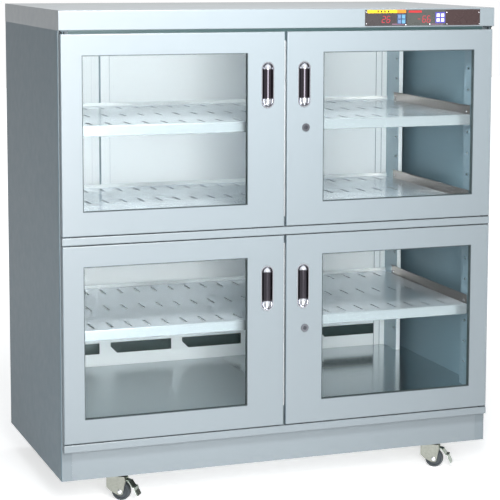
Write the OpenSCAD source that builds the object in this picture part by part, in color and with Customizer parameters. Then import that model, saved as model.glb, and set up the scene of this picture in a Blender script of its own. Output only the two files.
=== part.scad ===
// Four-door desiccator cabinet on braked swivel casters.
// Millimetres, +Z up. x = 0 is the middle of the width, z = 0 is the floor under the wheels,
// and y = 0 is the middle of the depth. "Front plane" below is the front face of the body.

/* [Cabinet body] */
// Width over the side panels
body_w = 1200; // [1000:10:1400]
// Depth of the body behind the front plane
body_d = 620; // [560:10:800]
// Height of the body from the plinth's lower edge to the top cover
body_h = 1200; // [1150:10:1400]
// Thickness of the folded steel sheet
sheet = 1.2; // [1:0.1:2]
// Assembly gap between sheets that meet
seam = 0.3; // [0.1:0.1:0.5]
// Radius on the middle of the sheet in a fold
bend_r = 2; // [1.6:0.1:3]
// Height of the kick plate under the sill rail
kick_h = 78; // [60:1:100]
// Depth of the kick plate's upper flange
kick_flange = 18; // [12:1:24]
// Width of the front returns of the side panels
return_w = 27; // [25:1:36]
// Height of the inside floor above the plinth's lower edge
floor_h = 150; // [140:1:180]
// Depth of the air duct between the rear liner and the back panel
duct_d = 17; // [12:1:30]

/* [Top cover] */
// Height of the top cover's front face
cover_h = 50; // [46:1:70]
// Open gap between the upper doors and the top cover
top_gap = 8.5; // [7:0.5:14]
// Height of the front header under the cover
header_h = 32; // [30:1:45]

/* [Front rails] */
// Height of the proud nose of the middle rail and the sill rail
nose_h = 20; // [16:1:30]
// Height of the seal flanges above and below a nose
flange_h = 25; // [22:1:30]
// Half width of the centre post
post_half_w = 22; // [21:1:30]
// Depth of the centre post's side flanges
post_d = 14; // [11:1:18]

/* [Doors] */
// Thickness of a door
door_t = 14; // [14:0.5:16]
// Space between a door's back and the front plane, which the seal fills
seal_gap = 4; // [3.6:0.1:6]
// Distance from a side panel to the outer edge of its door
edge_inset = 4; // [4:0.5:8]
// Gap between the left and the right doors
centre_gap = 6; // [5:0.5:8]
// Gap between a door and the rail above or below it
door_gap = 2.5; // [2.5:0.1:4]
// Width of a door's stile beside the hinges
hinge_stile = 55.5; // [45:0.5:80]
// Width of a door's stile beside the pull
pull_stile = 103; // [95:1:140]
// Width of a door's top rail
door_top_rail = 55; // [40:1:80]
// Width of a door's bottom rail
door_bottom_rail = 62; // [40:1:90]
// Thickness of the glass pane
glass_t = 4; // [3:0.1:4]
// How far the pane reaches behind the frame on each side
glass_lap = 9; // [6:1:14]
// Thickness of the rubber lining in the window opening
lining_t = 1.6; // [1:0.1:3]
// Width of the magnetic seal
seal_w = 12; // [10:0.5:12]
// Distance from a door's edge to its seal
seal_inset = 5; // [5:0.5:8]

/* [Pulls and locks] */
// Width of a pull's flange
pull_w = 35; // [30:1:44]
// Length of a pull's flange
pull_l = 120; // [90:1:160]
// How far a pull's flange stands out of the door
pull_proud = 1.5; // [1:0.1:2.5]
// Width of the flange around a pull's bowl
pull_rim = 2.8; // [2:0.1:5]
// Depth of a pull's bowl behind the door's front
pull_depth = 11; // [8:0.5:11.5]
// Distance from a door's free edge to the middle of its pull
pull_from_edge = 47.5; // [40:0.5:60]
// Distance from a door's top edge to the middle of its pull
pull_from_top = 137; // [100:1:180]
// Distance from a door's top edge to its lock
lock_from_top = 250; // [230:1:300]
// Distance from a door's free edge to its lock
lock_from_edge = 52.5; // [48:0.5:60]
// Radius of a lock's flange
lock_flange_r = 10.5; // [9:0.5:12]
// Radius of a lock's barrel
lock_barrel_r = 8; // [7:0.5:8.5]
// Radius of a lock's turning plug
lock_plug_r = 5.5; // [4:0.5:6]
// Length of a lock's cam from its axis
cam_l = 45; // [42:1:50]
// Width of a lock's cam
cam_w = 14; // [10:1:16]

/* [Pivot hinges] */
// Radius of a hinge pin
pin_r = 3; // [2.5:0.1:3.5]
// Length of a hinge pin inside the door
pin_l = 12; // [8:0.5:20]
// Radial running clearance of all pins and axles
run_gap = 0.05; // [0.02:0.01:0.09]
// Distance from a door's outer edge to its hinge axis
pin_inset = 7; // [6:0.5:7]

/* [Shelves] */
// Pitch of the bracket slots in the uprights
slot_pitch = 58.4; // [50:0.2:64]
// Height of the lowest shelf's surface above the plinth's lower edge
first_shelf_h = 382; // [340:1:420]
// Slots from the lowest to the middle shelf
middle_step = 5; // [3:1:6]
// Slots from the lowest to the upper shelf
upper_step = 9; // [7:1:10]
// Distance from the front plane to the shelves' front lip
shelf_front = 24; // [18:1:40]
// Height of a shelf's front lip
lip_h = 28; // [20:1:40]
// Pitch across the shelf of the perforations
perf_pitch = 50; // [30:1:80]
// Length of one perforation
perf_l = 60; // [20:1:90]
// Width of one perforation
perf_w = 4; // [2:0.5:8]
// Rows of perforations
perf_rows = 3; // [1:1:4]
// Height of a bracket's guide edge above its shelf
guide_h = 25; // [15:1:30]
// Width of the uprights' face across the cabinet
upright_off = 42; // [34:1:60]
// Depth of a rear upright
rear_upright_d = 88; // [60:1:110]
// Depth of a front upright
front_upright_d = 53; // [40:1:70]

/* [Rear liner vents] */
// Number of vents
vent_count = 5; // [2:1:5]
// Width of a vent
vent_w = 184; // [100:1:190]
// Height of a vent
vent_h = 32; // [16:1:50]
// Pitch of the vents
vent_pitch = 217; // [200:1:220]
// Height of a vent's lower edge above the inside floor
vent_up = 35; // [15:1:60]
// Size of the cut lower left corner of a vent
vent_cut = 20; // [5:1:24]

/* [Indicators] */
// Height of the indicator plates
plate_h = 42; // [36:1:44]
// Width of the temperature indicator
temp_w = 120; // [100:1:130]
// Width of the humidity indicator
humid_w = 112; // [100:1:120]
// Width of the blank plate beside the indicators
blank_w = 103; // [60:1:120]
// Distance from the right end of the cover to the blank plate
plate_from_end = 44.5; // [20:0.5:80]
// How far the plates stand out of the cover
plate_proud = 2.5; // [1.5:0.1:4]
// Depth of an indicator's housing behind the cover's front
housing_d = 60; // [30:1:90]
// Travel of a key
key_travel = 0.8; // [0.4:0.1:1.2]

/* [Casters] */
// Height from the floor to the plinth's lower edge
caster_h = 75; // [75:1:90]
// Radius of a wheel
wheel_r = 25; // [22:0.5:26]
// Width of a wheel's tread
wheel_w = 18; // [14:1:19]
// Distance from the swivel axis to the wheel's axle
trail = 22; // [16:1:26]
// Radius of the axles
axle_r = 4; // [3:0.5:5]
// Distance from a side panel to the swivel axes
caster_in = 150; // [90:5:250]
// Distance from the front plane to the front swivel axes
caster_front = 52; // [52:1:90]
// Distance from the back to the rear swivel axes
caster_back = 62; // [55:1:100]
// Direction in which the wheels trail, seen from above
caster_turn = -35; // [-180:5:180]

/* [Hidden] */

UPPER = 1;
LOWER = 0;
LEFT = -1;
RIGHT = 1;
eps = 0.01;

// Body levels, measured from the plinth's lower edge
door_stand = door_t + seal_gap;
sill_top = kick_h + nose_h;
cover_z = body_h - cover_h;
door_h = (cover_z - top_gap - sill_top - nose_h - 3 * door_gap) / 2;
mid_z = sill_top + door_h + 2 * door_gap;
deck_z = cover_z - header_h;
half_w = body_w / 2;
inner_w = half_w - sheet - seam;
return_in = half_w - return_w - seam;
back_y = body_d - 2 * sheet;
liner_y = back_y - duct_d - sheet;

// Inside radius of a fold: what sits in a folded corner keeps clear of it
fold_in = bend_r - sheet / 2;

// The whole depth runs from the indicators' keys to the back, and is centred on y = 0
key_proud = 0.5;
front_stand = door_stand + plate_proud + key_proud;
front_y = (front_stand - body_d) / 2;

// Doors
door_w = half_w - edge_inset - centre_gap / 2;
window_w = door_w - hinge_stile - pull_stile;
window_h = door_h - door_top_rail - door_bottom_rail;
pin_y = -door_stand + door_t / 2;
glass_y = -seam - 0.2 - glass_t;
back_skin = 1.2;
skin_gap = 0.2;
lining_gap = 0.2;
bore_extra = 1.5;
leaf_clear = 0.5;

// Pulls: the bowl is a trough with round ends, cut by a capsule whose middle is in front
bowl_half = pull_w / 2 - pull_rim;
bowl_r = (bowl_half * bowl_half + pull_depth * pull_depth) / (2 * pull_depth);
bowl_front = bowl_r - pull_depth;
bowl_wall = 1.2;
pull_gap = 0.3;

// Locks
lock_proud = 2.5;
cam_t = 2;
cam_y = 3.5;
cam_clear = 1.5;
nut_t = 3.5;

// Shelves
shelf_w = 2 * (half_w - upright_off - 2 * sheet - 2.5);
upright_x = half_w - upright_off;
bracket_x = upright_x - 2 * sheet;
upright_front = 22;
upright_edge = 14;
upright_face = 36;
lip_return = 8;
upstand_h = 10;
slot_len = 12;
slot_wide = 5;
tab_up = 8;
slot_edge = 14;
strip_w = 72;
strip_hat_w = 28;
strip_hat_d = 15;
strip_x = -324;
strip_h = 478;
shelf_back = liner_y - seam - strip_hat_d - 1;
plateau_back = liner_y - 11;

// Indicators
plate_gap = 0.4;
housing_in = 2.2;
key_gap = 0.25;
key_l = 4;
plate_z = cover_z + cover_h / 2;
plate_right = half_w - plate_from_end;
temp_x = plate_right - blank_w - humid_w - temp_w;
humid_x = plate_right - blank_w - humid_w;
temp_window = 88;
humid_window = 78;
temp_key = [9, 10.5];
humid_key = [8.6, 8.6];
temp_key_at = [[98, 3], [110, 3], [98, -10], [110, -10]];
humid_key_at = [[91, 5.7], [104, 5.7], [91, -6.9], [104, -6.9]];

// Casters
plate_t = 2.5;
plate_size = [62, 48];
plate_holes = [48, 34];
race_h = 6;
fork_t = 3;
cheek_t = 2.5;
cheek_in = 10.5;
fork_top = caster_h - plate_t - race_h - seam;
pedal_x = trail + 9;
pedal_z = 2 * wheel_r + 5;
channel_w = 80;

// Outline of a folded sheet: straight legs along a path, joined by square bends
module folded(path) {
    last = len(path) - 1;
    for (i = [0:last - 1]) {
        u = (path[i + 1] - path[i]) / norm(path[i + 1] - path[i]);
        from = path[i] + (i > 0 ? bend_r : 0) * u;
        to = path[i + 1] - (i < last - 1 ? bend_r : 0) * u;
        translate(from) rotate(atan2(u[1], u[0])) translate([0, -sheet / 2]) square([norm(to - from), sheet]);
    }
    for (i = [1:1:last - 1]) {
        u = (path[i] - path[i - 1]) / norm(path[i] - path[i - 1]);
        v = (path[i + 1] - path[i]) / norm(path[i + 1] - path[i]);
        reach = 2 * bend_r;
        translate(path[i] + bend_r * (v - u)) intersection() {
            difference() {
                circle(r = bend_r + sheet / 2, $fn = 32);
                circle(r = bend_r - sheet / 2, $fn = 32);
            }
            polygon([[0, 0], reach * u, reach * (u - v), -reach * v]);
        }
    }
}

// A y-z outline carried along x, from x0 to x1
module along_x(x0, x1) {
    translate([x0, 0, 0]) rotate([90, 0, 90]) linear_extrude(x1 - x0) children();
}

// An x-z outline carried along y, from y0 to y1
module along_y(y0, y1) {
    translate([0, y1, 0]) rotate([90, 0, 0]) linear_extrude(y1 - y0) children();
}

// An x-y outline carried up z, from z0 to z1
module along_z(z0, z1) {
    translate([0, 0, z0]) linear_extrude(z1 - z0) children();
}

// Rectangle whose two corners at its lower side are round
module round_front(w, t, r) {
    translate([0, r]) square([w, t - r]);
    translate([r, 0]) square([w - 2 * r, t]);
    for (x = [r, w - r]) translate([x, r]) circle(r = r, $fn = 32);
}

module placed() {
    translate([0, front_y, caster_h]) children();
}

module box(low, high) {
    translate(low) cube(high - low);
}

module on_side(side) {
    mirror([side > 0 ? 1 : 0, 0, 0]) children();
}

// A plate in the x-z plane, from y to y + t, with the outline given as children
module upright_plate(y, t) {
    translate([0, y + t, 0]) rotate([90, 0, 0]) linear_extrude(t) children();
}

// ---------------------------------------------------------------- body sheets

// Left side panel: web with front and rear returns in one sheet, and a flange at its foot
module side_panel(side) {
    half = sheet / 2;
    color("slategray") placed() on_side(side) {
        along_z(0, cover_z) translate([-half_w, 0])
            folded([[return_w, body_d - half], [half, body_d - half], [half, half], [return_w, half]]);
        box([-half_w + half, bend_r + half, 0], [-half_w + return_w, body_d - bend_r - half, sheet]);
    }
}

module back_panel() {
    color("slategray") placed() difference() {
        box([fold_in - inner_w, back_y, sheet + seam], [inner_w - fold_in, back_y + sheet, cover_z - seam]);
        inlet_hole();
    }
}

// Inner rear wall with a row of vents at its foot
module rear_liner() {
    low = floor_h - sheet + seam;
    color("whitesmoke") placed() difference() {
        box([-inner_w, liner_y, low], [inner_w, liner_y + sheet, deck_z - seam]);
        for (i = [0:vent_count - 1]) {
            x = (i - (vent_count - 1) / 2) * vent_pitch - vent_w / 2;
            translate([x, 0, floor_h + vent_up]) upright_plate(liner_y - 1, sheet + 2)
                polygon([[vent_cut, 0], [vent_w, 0], [vent_w, vent_h], [0, vent_h], [0, vent_cut]]);
        }
    }
}

// Ceiling tray of the compartments, with a front header that the upper seals meet
module top_deck() {
    half = sheet / 2;
    rear = back_y - seam - half;
    color("gainsboro") placed() {
        along_x(-return_in, return_in) folded([[half, cover_z], [half, deck_z + half], [rear, deck_z + half],
            [rear, cover_z]]);
        for (side = [LEFT, RIGHT]) on_side(side) along_y(sheet + seam + fold_in, rear + half)
            folded([[-inner_w + half, cover_z], [-inner_w + half, deck_z + half], [-return_in + 1, deck_z + half]]);
    }
}

// Cut-out in the cover for one indicator's housing
module housing_hole(x, w) {
    box([x + housing_in - key_gap * 2, -door_stand - 1, plate_z - plate_h / 2 + 3],
        [x + w - plate_gap - housing_in + key_gap * 2, 1, plate_z + plate_h / 2 - 3]);
}

// Rectangle with four round corners, between two opposite corners
module rounded(low, high, r) {
    translate(low + [r, 0]) square(high - low - [2 * r, 0]);
    translate(low + [0, r]) square(high - low - [0, 2 * r]);
    for (x = [low[0] + r, high[0] - r], y = [low[1] + r, high[1] - r]) translate([x, y]) circle(r = r, $fn = 32);
}

// Hood over the deck: flush with the doors in front, with a strip that closes its overhang
module top_cover() {
    r = fold_in + sheet;
    inner = body_d - sheet;
    color("lightsteelblue") placed() difference() {
        along_x(-half_w, half_w) {
            rounded([-door_stand, cover_z], [body_d, body_h], r);
            translate([body_d / 2, cover_z]) square([body_d / 2, cover_h / 2]);
        }
        along_x(-half_w + sheet, half_w - sheet) {
            rounded([-door_stand + sheet, cover_z + flange_h], [inner, body_h - sheet], fold_in);
            rounded([-door_stand + sheet, cover_z + sheet], [-seam - sheet, body_h - sheet - 1], fold_in);
            translate([-seam, cover_z - 1]) square([inner + seam, cover_h / 2 + 1]);
        }
        housing_hole(temp_x, temp_w);
        housing_hole(humid_x, humid_w);
    }
}

// Polished floor with a raised field
module floor_panel() {
    color("silver") placed() {
        box([-inner_w, sheet + seam + fold_in, floor_h - 2 * sheet], [inner_w, liner_y + sheet, floor_h - sheet]);
        box([-upright_x + 8, shelf_front, floor_h - 2 * sheet], [upright_x - 8, plateau_back, floor_h]);
    }
}

// Two deep channels under the floor, with the four caster plates and king pins under them
module caster_mounts() {
    top = floor_h - 2 * sheet - seam;
    color("silver") placed() for (side = [LEFT, RIGHT]) {
        x = side * (half_w - caster_in);
        translate([x, 0, 0]) difference() {
            box([-channel_w / 2, kick_flange + seam, 0], [channel_w / 2, back_y - seam, top]);
            box([-channel_w / 2 + 2, 0, 2], [channel_w / 2 - 2, body_d, top + 1]);
        }
        for (y = [caster_front, body_d - caster_back]) translate([x, y, 0]) caster_plate();
    }
}

module kick_plate() {
    half = sheet / 2;
    color("lightsteelblue") placed() along_x(-return_in, return_in)
        folded([[half, 0], [half, kick_h - seam - half], [kick_flange, kick_h - seam - half]]);
}

// A hollow nose across the front, closed at its ends, with seal flanges in the front plane
module front_rail(z, up, down) {
    half = sheet / 2;
    x = half_w - edge_inset;
    nose_y = -door_stand + half;
    nose = [[nose_y, z + half], [nose_y, z + nose_h - half]];
    top = [[half, z + nose_h - half], [half, z + nose_h + up]];
    foot = down > 0 ? [[half, z - down], [half, z + half]] : [[half, z + half]];
    along_x(-return_in, return_in) folded(concat(foot, nose, top));
    along_x(-x, x) folded(concat([[-seam, z + half]], nose, [[-seam, z + nose_h - half]]));
    for (end = [-x, x - sheet]) box([end, nose_y, z + half], [end + sheet, -seam, z + nose_h - half]);
}

module front_rails() {
    color("lightsteelblue") placed() {
        front_rail(mid_z, flange_h, flange_h);
        front_rail(kick_h, floor_h - sheet - sill_top, 0);
    }
}

// Channels behind the middle of the doors. The slots let the lock cams in from the right.
module centre_post(row, low, high) {
    half = sheet / 2;
    low_reach = door_z(row) + door_h - lock_from_top - cam_l;
    x = post_half_w - half;
    difference() {
        along_z(low, high) folded([[-x, post_d], [-x, half], [x, half], [x, post_d]]);
        box([0, cam_y - cam_clear, low_reach],
            [post_half_w + 1, cam_y + cam_t + cam_clear, low_reach + cam_l + cam_w / 2 + 2]);
    }
}

module centre_posts() {
    color("gainsboro") placed() {
        centre_post(LOWER, floor_h - sheet, mid_z - flange_h - seam);
        centre_post(UPPER, mid_z + nose_h + flange_h + seam, deck_z - seam);
    }
}

// ---------------------------------------------------------------- shelving

function shelf_h(step) = first_shelf_h + step * slot_pitch;

// Slot levels that fit between the floor and the ceiling
slot_low = floor_h + 30;
slot_first = first_shelf_h + tab_up - slot_pitch * floor((first_shelf_h + tab_up - slot_low) / slot_pitch);
slot_count = 1 + floor((deck_z - 30 - slot_first) / slot_pitch);

// One row of bracket slots through a web that stands at x, from y over a length
module slot_row(x, y) {
    for (i = [0:slot_count - 1]) {
        z = slot_first + i * slot_pitch;
        box([x - 1, y - slot_len / 2, z - slot_wide / 2], [x + sheet + 1, y + slot_len / 2, z + slot_wide / 2]);
    }
}

front_slot_y = upright_front + front_upright_d / 2;
rear_slot_y = liner_y - rear_upright_d + slot_edge;

// Slotted uprights in the right-hand corners; the left ones are their mirror images
module upright_pair() {
    half = sheet / 2;
    low = floor_h - sheet + seam;
    high = deck_z - seam;
    x = upright_x + half;
    front = upright_front + half;
    rear_front = liner_y - rear_upright_d + half;
    rear = liner_y - seam - half;
    difference() {
        along_z(low, high) folded([[inner_w - 1, front], [x, front], [x, front + front_upright_d - sheet],
            [x + upright_edge, front + front_upright_d - sheet]]);
        slot_row(upright_x, front_slot_y);
    }
    difference() {
        along_z(low, high) {
            folded([[x + upright_edge, rear_front + upright_edge], [x + upright_edge, rear_front],
                [x, rear_front], [x, rear], [upright_x - upright_face, rear]]);
            translate([upright_x - upright_face / 2, rear - half - sheet])
                square([upright_face / 2 + sheet / 4, sheet + eps]);
        }
        slot_row(upright_x, rear_slot_y);
    }
}

// Hat-section standard on the rear liner behind the upper left compartment
module rear_standard() {
    half = sheet / 2;
    low = deck_z - strip_h;
    y = liner_y - seam - half;
    hat_x = strip_hat_w / 2 - half;
    hat_y = liner_y - seam - strip_hat_d + half;
    slots = floor((strip_h - 60) / (2 * slot_pitch));
    translate([strip_x, 0, 0]) difference() {
        along_z(low, deck_z - seam) folded([[-strip_w / 2, y], [-hat_x, y], [-hat_x, hat_y], [hat_x, hat_y],
            [hat_x, y], [strip_w / 2, y]]);
        for (side = [-1, 1], i = [0:slots])
            translate([side * (strip_w / 2 - 9), y, deck_z - 40 - i * 2 * slot_pitch])
                cube([4.5, 2 * sheet, 10], center = true);
    }
}

module uprights() {
    color("whitesmoke") placed() {
        for (side = [LEFT, RIGHT]) on_side(-side) upright_pair();
        rear_standard();
    }
}

// Angle that hooks into the uprights of one side, carries the shelf and guides its edge
module shelf_bracket(z) {
    half = sheet / 2;
    x = bracket_x + half;
    front = shelf_front + lip_return;
    back = rear_slot_y + slot_edge;
    along_y(front, back) {
        folded([[x - 4, z + guide_h - half], [x, z + guide_h - half], [x, z - lip_h]]);
        folded([[x - 18, z - 1.5 * sheet], [x, z - 1.5 * sheet]]);
    }
    for (y = [front_slot_y, rear_slot_y]) {
        box([x, y - slot_len / 2 - 5, z - lip_h],
            [upright_x, y + slot_len / 2 + 5, z + guide_h - bend_r - sheet]);
        box([x, y - slot_len / 2 + 1, z + tab_up - slot_wide / 2 + 1],
            [upright_x + 3 * sheet, y + slot_len / 2 - 1, z + tab_up + slot_wide / 2 - 1]);
        translate([0, y, z + guide_h / 2 - 6]) rotate([0, 90, 0]) translate([0, 0, x - half - 1.6])
            cylinder(r = 3.2, h = 1.6 + eps, $fn = 32);
    }
}

module shelf_brackets() {
    color("rosybrown") placed() for (step = [0, middle_step, upper_step], side = [LEFT, RIGHT])
        on_side(-side) shelf_bracket(shelf_h(step));
}

// One slot that runs front to back, with round ends
module perforation() {
    half = (perf_l - perf_w) / 2;
    linear_extrude(4 * sheet, center = true) {
        square([perf_w, 2 * half], center = true);
        for (y = [-half, half]) translate([0, y]) circle(d = perf_w, $fn = 24);
    }
}

// Perforated shelf, folded in one sheet with a deep front lip and a rear upstand
module shelf(step) {
    half = sheet / 2;
    z = shelf_h(step);
    columns = floor((shelf_w / 2 - 30) / perf_pitch);
    row_pitch = (shelf_back - shelf_front) * 0.4;
    middle = (shelf_back + shelf_front) / 2;
    color("silver") placed() difference() {
        along_x(-shelf_w / 2, shelf_w / 2) folded([[shelf_front + lip_return, z - lip_h + half],
            [shelf_front + half, z - lip_h + half], [shelf_front + half, z - half], [shelf_back - half, z - half],
            [shelf_back - half, z + upstand_h]]);
        for (i = [-columns:columns], row = [0:perf_rows - 1])
            translate([i * perf_pitch, middle + (row - (perf_rows - 1) / 2) * row_pitch, z]) perforation();
    }
}

// ---------------------------------------------------------------- doors

function door_z(row) = row == UPPER ? mid_z + nose_h + door_gap : sill_top + door_gap;

// Children are drawn in the left door's own frame: x from its hinge edge, z from its lower edge
module at_door(side, row) {
    placed() on_side(side) translate([-half_w + edge_inset, 0, door_z(row)]) children();
}

module window_area(grow, y0, y1) {
    box([hinge_stile - grow, y0, door_bottom_rail - grow],
        [hinge_stile + window_w + grow, y1, door_bottom_rail + window_h + grow]);
}

// A stadium standing in the x-z plane, from y to y + t
module stadium(w, l, y, t) {
    upright_plate(y, t) {
        square([w, l - w], center = true);
        for (s = [-1, 1]) translate([0, s * (l - w) / 2]) circle(d = w, $fn = 64);
    }
}

module at_pull() {
    translate([door_w - pull_from_edge, -door_stand, door_h - pull_from_top]) children();
}

module at_lock() {
    translate([door_w - lock_from_edge, -door_stand, door_h - lock_from_top]) rotate([-90, 0, 0]) children();
}

bowl_outer_half = bowl_half + bowl_wall;

// Solid corners of a door's pan, which take the hinge pins
module pin_blocks() {
    h = pin_l + bore_extra + 3;
    for (z = [sheet, door_h - h])
        box([sheet, -door_stand + sheet, z], [2 * pin_inset, -seal_gap - back_skin - skin_gap, z + h - sheet]);
}

module door_openings(side) {
    window_area(lining_t, -door_stand - 1, 0);
    at_pull() stadium(2 * (bowl_outer_half + pull_gap), pull_l - 2 * pull_rim + 2 * (bowl_wall + pull_gap),
        -1, sheet + 2);
    if (side == RIGHT) {
        at_lock() translate([0, 0, -1]) cylinder(r = lock_barrel_r + 0.2, h = door_t + 2, $fn = 64);
    }
}

// A door's outer form, less an inset from its outside: the front edges are round on all four sides
module leaf(inset) {
    r = bend_r + sheet / 2 - inset;
    intersection() {
        along_z(inset, door_h - inset) translate([inset, -door_stand + inset])
            round_front(door_w - 2 * inset, door_t, r);
        along_x(inset, door_w - inset) mirror([1, -1]) translate([inset, -door_stand + inset])
            round_front(door_h - 2 * inset, door_t, r);
    }
}

// Folded pan with returns round its edge and its window, closed by a skin at the back
module door_frame(side, row) {
    color("lightsteelblue") at_door(side, row) {
        difference() {
            union() {
                difference() {
                    leaf(0);
                    leaf(sheet);
                }
                window_area(lining_t + sheet, -door_stand + eps, -seal_gap - back_skin - skin_gap);
                pin_blocks();
            }
            door_openings(side);
            for (z = [-1, door_h - pin_l - bore_extra]) translate([pin_inset, pin_y, z])
                cylinder(r = pin_r + run_gap, h = pin_l + bore_extra + 1, $fn = 48);
        }
        difference() {
            box([sheet + skin_gap, -seal_gap - back_skin, sheet + skin_gap],
                [door_w - sheet - skin_gap, -seal_gap, door_h - sheet - skin_gap]);
            door_openings(side);
            window_area(glass_lap + 0.5, glass_y - skin_gap, 0);
        }
    }
}

module door_glass(side, row) {
    color("lightcyan", 0.4) at_door(side, row) window_area(glass_lap, glass_y, glass_y + glass_t);
}

// Rubber lining of the window, the bead round the pane, and the magnetic seal at the back of the door
module door_seal(side, row) {
    color("darkslategray") at_door(side, row) {
        difference() {
            window_area(lining_t - lining_gap, -door_stand - 0.4, glass_y - lining_gap);
            window_area(0, -door_stand - 1, 0);
        }
        difference() {
            window_area(glass_lap + 3.5, -seal_gap, -seam);
            window_area(glass_lap + 0.5, -door_stand, 0);
        }
        difference() {
            box([seal_inset, -seal_gap, seal_inset], [door_w - seal_inset, -seam, door_h - seal_inset]);
            box([seal_inset + seal_w, -seal_gap - 1, seal_inset + seal_w],
                [door_w - seal_inset - seal_w, 1, door_h - seal_inset - seal_w]);
            box([seal_inset + 3, -seam - 1.2, seal_inset + 3],
                [door_w - seal_inset - 3, 1, door_h - seal_inset - 3]);
        }
        difference() {
            box([seal_inset + 6, -seam - 1.4, seal_inset + 6],
                [door_w - seal_inset - 6, -seam, door_h - seal_inset - 6]);
            box([seal_inset + seal_w, -seal_gap - 1, seal_inset + seal_w],
                [door_w - seal_inset - seal_w, 1, door_h - seal_inset - seal_w]);
        }
    }
}

// Capsule along z that cuts or forms a pull's bowl
module capsule(r) {
    l = pull_l - 2 * pull_rim - 2 * bowl_half;
    translate([0, -bowl_front, -l / 2]) cylinder(r = r, h = l, $fn = 96);
    for (z = [-l / 2, l / 2]) translate([0, -bowl_front, z]) sphere(r = r, $fn = 96);
}

module door_pull(side, row) {
    color("silver") at_door(side, row) at_pull() difference() {
        union() {
            stadium(pull_w, pull_l, -pull_proud, pull_proud);
            intersection() {
                stadium(2 * bowl_outer_half, pull_l - 2 * pull_rim + 2 * bowl_wall, -eps, pull_depth + bowl_wall);
                capsule(bowl_r + bowl_wall);
            }
        }
        capsule(bowl_r);
        stadium(2 * bowl_half, pull_l - 2 * pull_rim, -pull_proud - 1, pull_proud + 1);
    }
}

module lock_barrel(row) {
    color("silver") at_door(RIGHT, row) at_lock() difference() {
        union() {
            translate([0, 0, -lock_proud]) cylinder(r = lock_flange_r, h = lock_proud, $fn = 64);
            translate([0, 0, -eps]) cylinder(r = lock_barrel_r, h = door_stand + cam_y - seam, $fn = 64);
            translate([0, 0, door_t + 0.1]) cylinder(r = lock_barrel_r + 3.5, h = nut_t, $fn = 6);
        }
        translate([0, 0, -lock_proud - 1])
            cylinder(r = lock_plug_r + run_gap, h = door_stand + cam_y + lock_proud + 2, $fn = 64);
    }
}

// Turning plug with the key slot in its face and the cam on its tail, which hangs down at rest
module lock_plug(row) {
    color("gainsboro") at_door(RIGHT, row) at_lock() difference() {
        union() {
            translate([0, 0, -lock_proud - 0.4])
                cylinder(r = lock_plug_r, h = door_stand + cam_y + lock_proud + 0.4 + cam_t, $fn = 64);
            translate([0, 0, door_stand + cam_y]) linear_extrude(cam_t) {
                circle(d = cam_w, $fn = 48);
                translate([-cam_w / 2, 0]) square([cam_w, cam_l - 2]);
            }
        }
        box([-0.7, -3.2, -lock_proud - 1], [0.7, 3.2, -lock_proud + 2]);
    }
}

// A pivot leaf fixed to the body, with the pin that a door turns on. dir is the pin's direction.
module hinge_plate(z, leaf_t, boss_t, dir) {
    x = -half_w + edge_inset + pin_inset;
    translate([0, 0, z]) mirror([0, 0, dir > 0 ? 0 : 1]) {
        box([x - 5.5, pin_y - 5.5, 0], [x + 14, -fold_in - seam, leaf_t]);
        translate([x, pin_y, 0]) {
            cylinder(r = pin_r + 2, h = leaf_t + boss_t, $fn = 48);
            cylinder(r = pin_r, h = leaf_t + boss_t + leaf_clear + pin_l, $fn = 48);
        }
    }
}

module hinge_plates() {
    leaf = door_gap - leaf_clear;
    color("gray") placed() for (side = [LEFT, RIGHT]) on_side(side) {
        hinge_plate(cover_z, 3, top_gap - 3 - leaf_clear, -1);
        hinge_plate(mid_z + nose_h, leaf, 0, 1);
        hinge_plate(mid_z, leaf, 0, -1);
        hinge_plate(sill_top, leaf, 0, 1);
    }
}

// ---------------------------------------------------------------- drying unit and power

dryer_half = 140;
dryer_h = 106.7;
dryer_low = floor_h - 2 * sheet - seam - dryer_h;
dryer_d = 222;
dryer_wall = 1.5;
block_gap = 12;
block_front = 20;
channel_pitch = 22;
channel_d = 12;
dryer_front = back_y - dryer_d;
flap_half = 60;
flap_low = dryer_low + 20;
flap_h = 62;
flap_pin_z = flap_low + flap_h + 6;
flap_y = dryer_front - 3;

// Sheet case under the floor, open at the rear of its top into the air duct
module dryer_case() {
    top = dryer_low + dryer_h;
    wall = dryer_wall;
    color("lightgray") placed() {
        difference() {
            box([-dryer_half, dryer_front, dryer_low], [dryer_half, back_y - seam, top]);
            box([-dryer_half + wall, dryer_front + wall, dryer_low + wall],
                [dryer_half - wall, back_y - seam - wall, top - wall]);
            box([-dryer_half + 10, liner_y + sheet, top - wall - 1],
                [dryer_half - 10, back_y - seam - wall, top + 1]);
            box([-flap_half + 4, dryer_front - 1, flap_low + 4],
                [flap_half - 4, dryer_front + wall + 1, flap_low + flap_h]);
        }
        for (side = [-1, 1]) on_side(-side) difference() {
            box([flap_half + 2, flap_y - 4, flap_pin_z - 5], [flap_half + 5, dryer_front + eps, flap_pin_z + 5]);
            translate([0, flap_y, flap_pin_z]) rotate([0, 90, 0])
                cylinder(r = 2 + run_gap, h = flap_half + 10, $fn = 32);
        }
    }
}

// Block of desiccant with air channels through it
module desiccant_block() {
    low = dryer_low + dryer_wall + seam;
    top = dryer_low + dryer_h - block_front;
    half = dryer_half - dryer_wall - block_gap;
    count = floor((half - channel_d) / channel_pitch);
    color("peru") placed() difference() {
        box([-half, dryer_front + block_front, low], [half, liner_y - block_front, top]);
        for (i = [-count:count]) translate([i * channel_pitch, 0, (low + top) / 2]) rotate([-90, 0, 0])
            cylinder(d = channel_d, h = body_d, $fn = 32);
    }
}

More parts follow.
